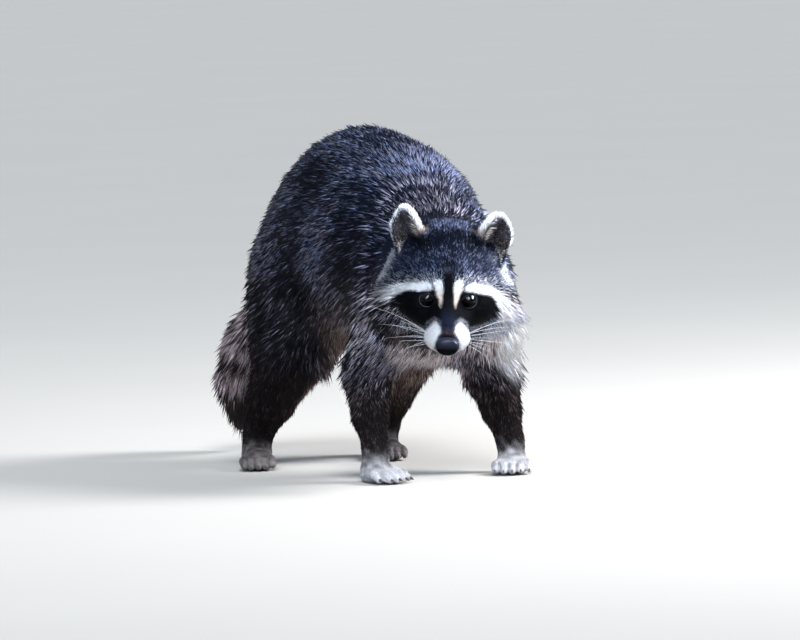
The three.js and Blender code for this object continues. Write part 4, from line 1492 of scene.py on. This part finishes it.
# eyes
eyePlan = {
    "cornea": 0.0009, "corneaWide": 42.0,
    # the wet edge of the lids
    "line": 0.00034, "lineInside": 0.02, "lineSteps": 72, "lineSides": 8,
    "lineTones": [(0.010, 0.014, 0.030), (0.050, 0.065, 0.120)],
    # pupil, iris and white, by their shares of the half turn away from the gaze
    "tones": [(0.0, (0.0002, 0.0002, 0.0004)), (0.17, (0.0002, 0.0002, 0.0004)),
              (0.21, (0.0012, 0.0008, 0.0006)), (0.30, (0.0009, 0.0006, 0.0005)),
              (0.36, (0.0004, 0.0004, 0.0006)), (0.45, (0.001, 0.001, 0.002))],
    "gleam": (0.04, 0.48),
}


# The lower half of a wet thing lies in the shade of its lid or lip and gleams less than the upper.
def gleamByHeight(tree, shader, low, high):
    shader.inputs["Specular IOR Level"].default_value = (low + high) / 2
    gleam = addRange(tree, readAttribute(tree, "height"), low, high, 0.40, 0.66)
    feed(tree, shader, {"Specular IOR Level": gleam})


def eyeMaterial():
    material, tree, shader = newMaterial("wet_eye")
    tones = addTones(tree, readAttribute(tree, "gazeAngle"), eyePlan["tones"])
    fibres = addNoise(tree, 900).outputs["Color"]
    feed(tree, shader, {"IOR": 1.34, "Roughness": 0.03,
                        "Base Color": addMix(tree, "MULTIPLY", 0.5, tones, fibres)})
    gleamByHeight(tree, shader, *eyePlan["gleam"])
    return material


materials["eye"] = eyeMaterial()
materials["wetLine"] = grainyMaterial("wet_lid_edge", 700, eyePlan["lineTones"], 0.12)


def buildEye(side):
    middle, axes = eyeFrame(side)
    eye = addSphere("eyeball_" + side, 64, 40, skinPlan["eyeRadius"])
    points = pointsOf(eye.data)
    angle = np.arccos(np.clip(unit(points)[:, 2], -1, 1))
    bulge = np.cos(np.clip(angle / math.radians(eyePlan["corneaWide"]), 0, 1) * math.pi / 2) ** 2
    points += unit(points) * (bulge * eyePlan["cornea"])[:, None]
    movePoints(eye.data, points @ axes + middle)
    if np.linalg.det(axes) < 0:
        eye.data.flip_normals()
    addFloats(eye.data, "height", 0.5 + 0.5 * unit(points)[:, 1])
    addFloats(eye.data, "gazeAngle", angle / math.pi)
    selectOnly(eye)
    bpy.ops.object.shade_smooth()
    finishPiece(eye, "eye", "eye", "eye_" + side)


# The wet edge of the lids: a thin dark line round the eye that catches the light.
def buildWetLine(side):
    middle, axes = eyeFrame(side)
    turns = np.linspace(0, 2 * math.pi, eyePlan["lineSteps"], endpoint=False)
    angle = lidAngle(turns) - eyePlan["lineInside"]
    # thickest along the lower outer lid
    thick = eyePlan["line"] * (0.25 + 0.75 * ramp(0.75 * np.cos(turns) - 0.65 * np.sin(turns), -0.2, 0.7))
    ring = []
    for i in range(eyePlan["lineSides"]):
        around = i / eyePlan["lineSides"] * 2 * math.pi
        tilted = angle + math.sin(around) * thick / skinPlan["eyeRadius"]
        ways = np.stack([np.cos(turns) * np.sin(tilted), np.sin(turns) * np.sin(tilted), np.cos(tilted)], 1)
        ring.append(ways * (skinPlan["eyeRadius"] + thick * (0.4 + math.cos(around)))[:, None])
    points = np.stack(ring, 1).reshape(-1, 3) @ axes + middle
    sides = eyePlan["lineSides"]
    faces = []
    for i in range(len(turns)):
        for j in range(sides):
            a, b = i * sides + j, i * sides + (j + 1) % sides
            c, d = (a + sides) % len(points), (b + sides) % len(points)
            faces += [(a, b, d), (a, d, c)]
    line = triangleMesh("wet_line_" + side, points, np.array(faces))
    editWhole(line, bpy.ops.mesh.normals_make_consistent, inside=False)
    finishPiece(line, "wetLine", "eye")


for side in ("left", "right"):
    buildEye(side)
    buildWetLine(side)


# nose
# Half its width, height and length in millimetres, how far it drops, and how deep its nostrils are.
nosePlan = {
    "half": (12.0, 9.1, 9.0), "drop": 1.7, "nostrilDepth": 3.0,
    "tones": [(0, (0.0008, 0.0009, 0.0016)), (1, (0.0022, 0.0025, 0.0042))],
    # a painted reflection of the sky makes its upper half blue-grey; its lower half is black
    "sheen": [(0.42, (0, 0, 0)), (0.74, (0.007, 0.009, 0.022))],
    "rough": (0.30, 0.40), "gleam": (0.02, 0.22),
}


def noseMaterial():
    material, tree, shader = newMaterial("nose_leather")
    noise = addNoise(tree, 240).outputs["Fac"]
    place = addNode(tree, "TexCoord").outputs["Object"]
    cells = addNode(tree, "TexVoronoi", {"Vector": place, "Scale": 1150}).outputs["Distance"]
    addBump(tree, shader, cells, 0.18, 0.0004)
    tones = addTones(tree, noise, nosePlan["tones"])
    # painted reflection: a blue-grey added to the colour of the upper half, by height
    sheen = addTones(tree, readAttribute(tree, "height"), nosePlan["sheen"])
    feed(tree, shader, {"Base Color": addMix(tree, "ADD", 1.0, tones, sheen),
                        "Roughness": addRange(tree, noise, *nosePlan["rough"])})
    gleamByHeight(tree, shader, *nosePlan["gleam"])
    return material


materials["nose"] = noseMaterial()


def buildNose():
    nose = addSphere("nose_leather", 96, 64, 1)
    p = unit(pointsOf(nose.data))
    shape = np.sign(p) * np.abs(p) ** 0.92 * np.array(nosePlan["half"])
    x, y, z = shape.T
    # a flatter front, a groove down the middle, and a nostril on each side that runs out sideways
    shape[:, 0] *= 1 - 0.16 * ramp(-y, 1, 9.5)
    shape[:, 2] -= 1.2 * ramp(z, 5, 9)
    shape[:, 2] -= 1.3 * np.exp(-(x / 1.0) ** 2) * ramp(-y, 0, 6) * ramp(z, 0, 4)
    across = np.abs(x)
    hole = np.exp(-(((across - 6.9) / 1.7) ** 2 + ((y + 3.4) / 1.6) ** 2)) * ramp(z, 0, 3)
    slit = np.exp(-(((y + 4.0 - (across - 7) * 0.35) / 0.9) ** 2))
    slit *= ramp(across, 6, 8) * ramp(-across, -12.2, -10.8) * ramp(z, -2, 2)
    shape -= unit(shape) * (nosePlan["nostrilDepth"] * np.maximum(hole, 0.6 * slit))[:, None]
    addFloats(nose.data, "height", 0.5 + 0.5 * p[:, 1])
    shape[:, 1] -= nosePlan["drop"]
    movePoints(nose.data, boxMiddle("nose") + shape @ headAxes / 1000)
    selectOnly(nose)
    bpy.ops.object.shade_smooth()
    finishPiece(nose, "nose", "nose_leather", "nose")


buildNose()
report("eyes and nose")


# claws
clawPlan = {"tones": [(0.020, 0.016, 0.014), (0.110, 0.090, 0.075)], "rough": (0.28, 0.5),
            "coat": {"Coat Weight": 0.3, "Coat Roughness": 0.25}}
materials["claw"] = grainyMaterial("horn_claw", 300, clawPlan["tones"], clawPlan["rough"], clawPlan["coat"])


def buildClaws():
    for node in sorted(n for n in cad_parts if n.startswith("claw_")):
        claw = copyNodes([node], node.replace("claw", "horn"))
        useModifier(claw, "SUBSURF", levels=1, render_levels=1)
        selectOnly(claw)
        bpy.ops.object.shade_smooth()
        finishPiece(claw, "claw", "claw", node)


buildClaws()


# whiskers
whiskerPlan = {"radius": 0.00020, "sides": 5, "steps": 10, "tones": [(0.45, 0.46, 0.50), (0.75, 0.77, 0.82)],
               # where the first hair of a row starts, seen from midway between the eyes, in millimetres
               "aside": 34, "ahead": 36,
               # each row: how far below the eyes it starts, how much it rises, and its hairs' lengths
               "rows": [(-27.0, 0.50, (0.038, 0.078)), (-30.0, 0.22, (0.030, 0.046, 0.054)),
                        (-33.5, -0.06, (0.028, 0.044)), (-37.0, -0.34, (0.024, 0.038))]}


materials["whisker"] = grainyMaterial("whisker", 200, whiskerPlan["tones"], 0.35)


# The points and faces of a closed tapered tube along a line of points.
def tube(line, radius, sides):
    ahead = unit(np.gradient(line, axis=0))
    first = unit(np.cross(ahead, (0.13, 0.21, 0.97)))
    second = np.cross(ahead, first)
    angles = np.arange(sides) / sides * 2 * math.pi
    ring = first[:, None] * np.cos(angles)[None, :, None] + second[:, None] * np.sin(angles)[None, :, None]
    points = (line[:, None] + ring * radius[:, None, None])[:-1].reshape(-1, 3)
    count = len(line) - 1
    faces = []
    for i in range(count - 1):
        for j in range(sides):
            a, b = i * sides + j, i * sides + (j + 1) % sides
            faces += [(a, b, b + sides), (a, b + sides, a + sides)]
    tip = len(points)
    for j in range(sides):
        faces.append(((count - 1) * sides + j, (count - 1) * sides + (j + 1) % sides, tip))
    for j in range(1, sides - 1):
        faces.append((0, j + 1, j))
    return np.vstack([points, line[-1:]]), np.array(faces)


def buildWhiskers():
    maker = np.random.default_rng(9)
    tree = BVHTree.FromPolygons(skinPoints.tolist(), skinFaces.tolist())
    points, faces, count = [], [], 0
    spots = []
    for sign in (1, -1):
        for row, (up, rise, lengths) in enumerate(whiskerPlan["rows"]):
            for k, length in enumerate(lengths):
                start = np.array([sign * whiskerPlan["aside"], up + 0.9 * k,
                                  whiskerPlan["ahead"] - k * 6.5 - row * 0.8])
                way = np.array([sign * 1.0, rise, -0.18 - 0.20 * k])
                spots.append((start, way, length * maker.uniform(0.85, 1.12), np.array([-sign * 1.0, 0, 0])))
    # one long hair stands out past the left cheek
    spots.append((np.array([70, 4, -26]), np.array([1.0, 0.02, 0.1]), 0.027, np.array([-1.0, 0, 0])))
    for start, way, size, inward in spots:
        hit = tree.ray_cast(Vector(fromHead(start)), Vector(unit(inward @ headAxes)))
        if hit[0] is None:
            continue
        way = unit(way + maker.normal(0, 0.07, 3)) @ headAxes
        t = np.linspace(0, 1, whiskerPlan["steps"])[:, None]
        droop = np.array([0, 0, -1.0]) * (t ** 2) * size * maker.uniform(0.05, 0.25)
        back = -headAhead * (t ** 2) * size * maker.uniform(0.05, 0.22)
        line = np.array(hit[0]) - way * 0.0008 + way * t * size + droop + back
        radius = whiskerPlan["radius"] * (1 - 0.8 * t[:, 0])
        p, f = tube(line, radius, whiskerPlan["sides"])
        points.append(p)
        faces.append(f + count)
        count += len(p)
    finishPiece(triangleMesh("whiskers", np.vstack(points), np.vstack(faces)), "whisker", "body_fur")


buildWhiskers()
report("claws and whiskers")


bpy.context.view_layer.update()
report("sizes written")
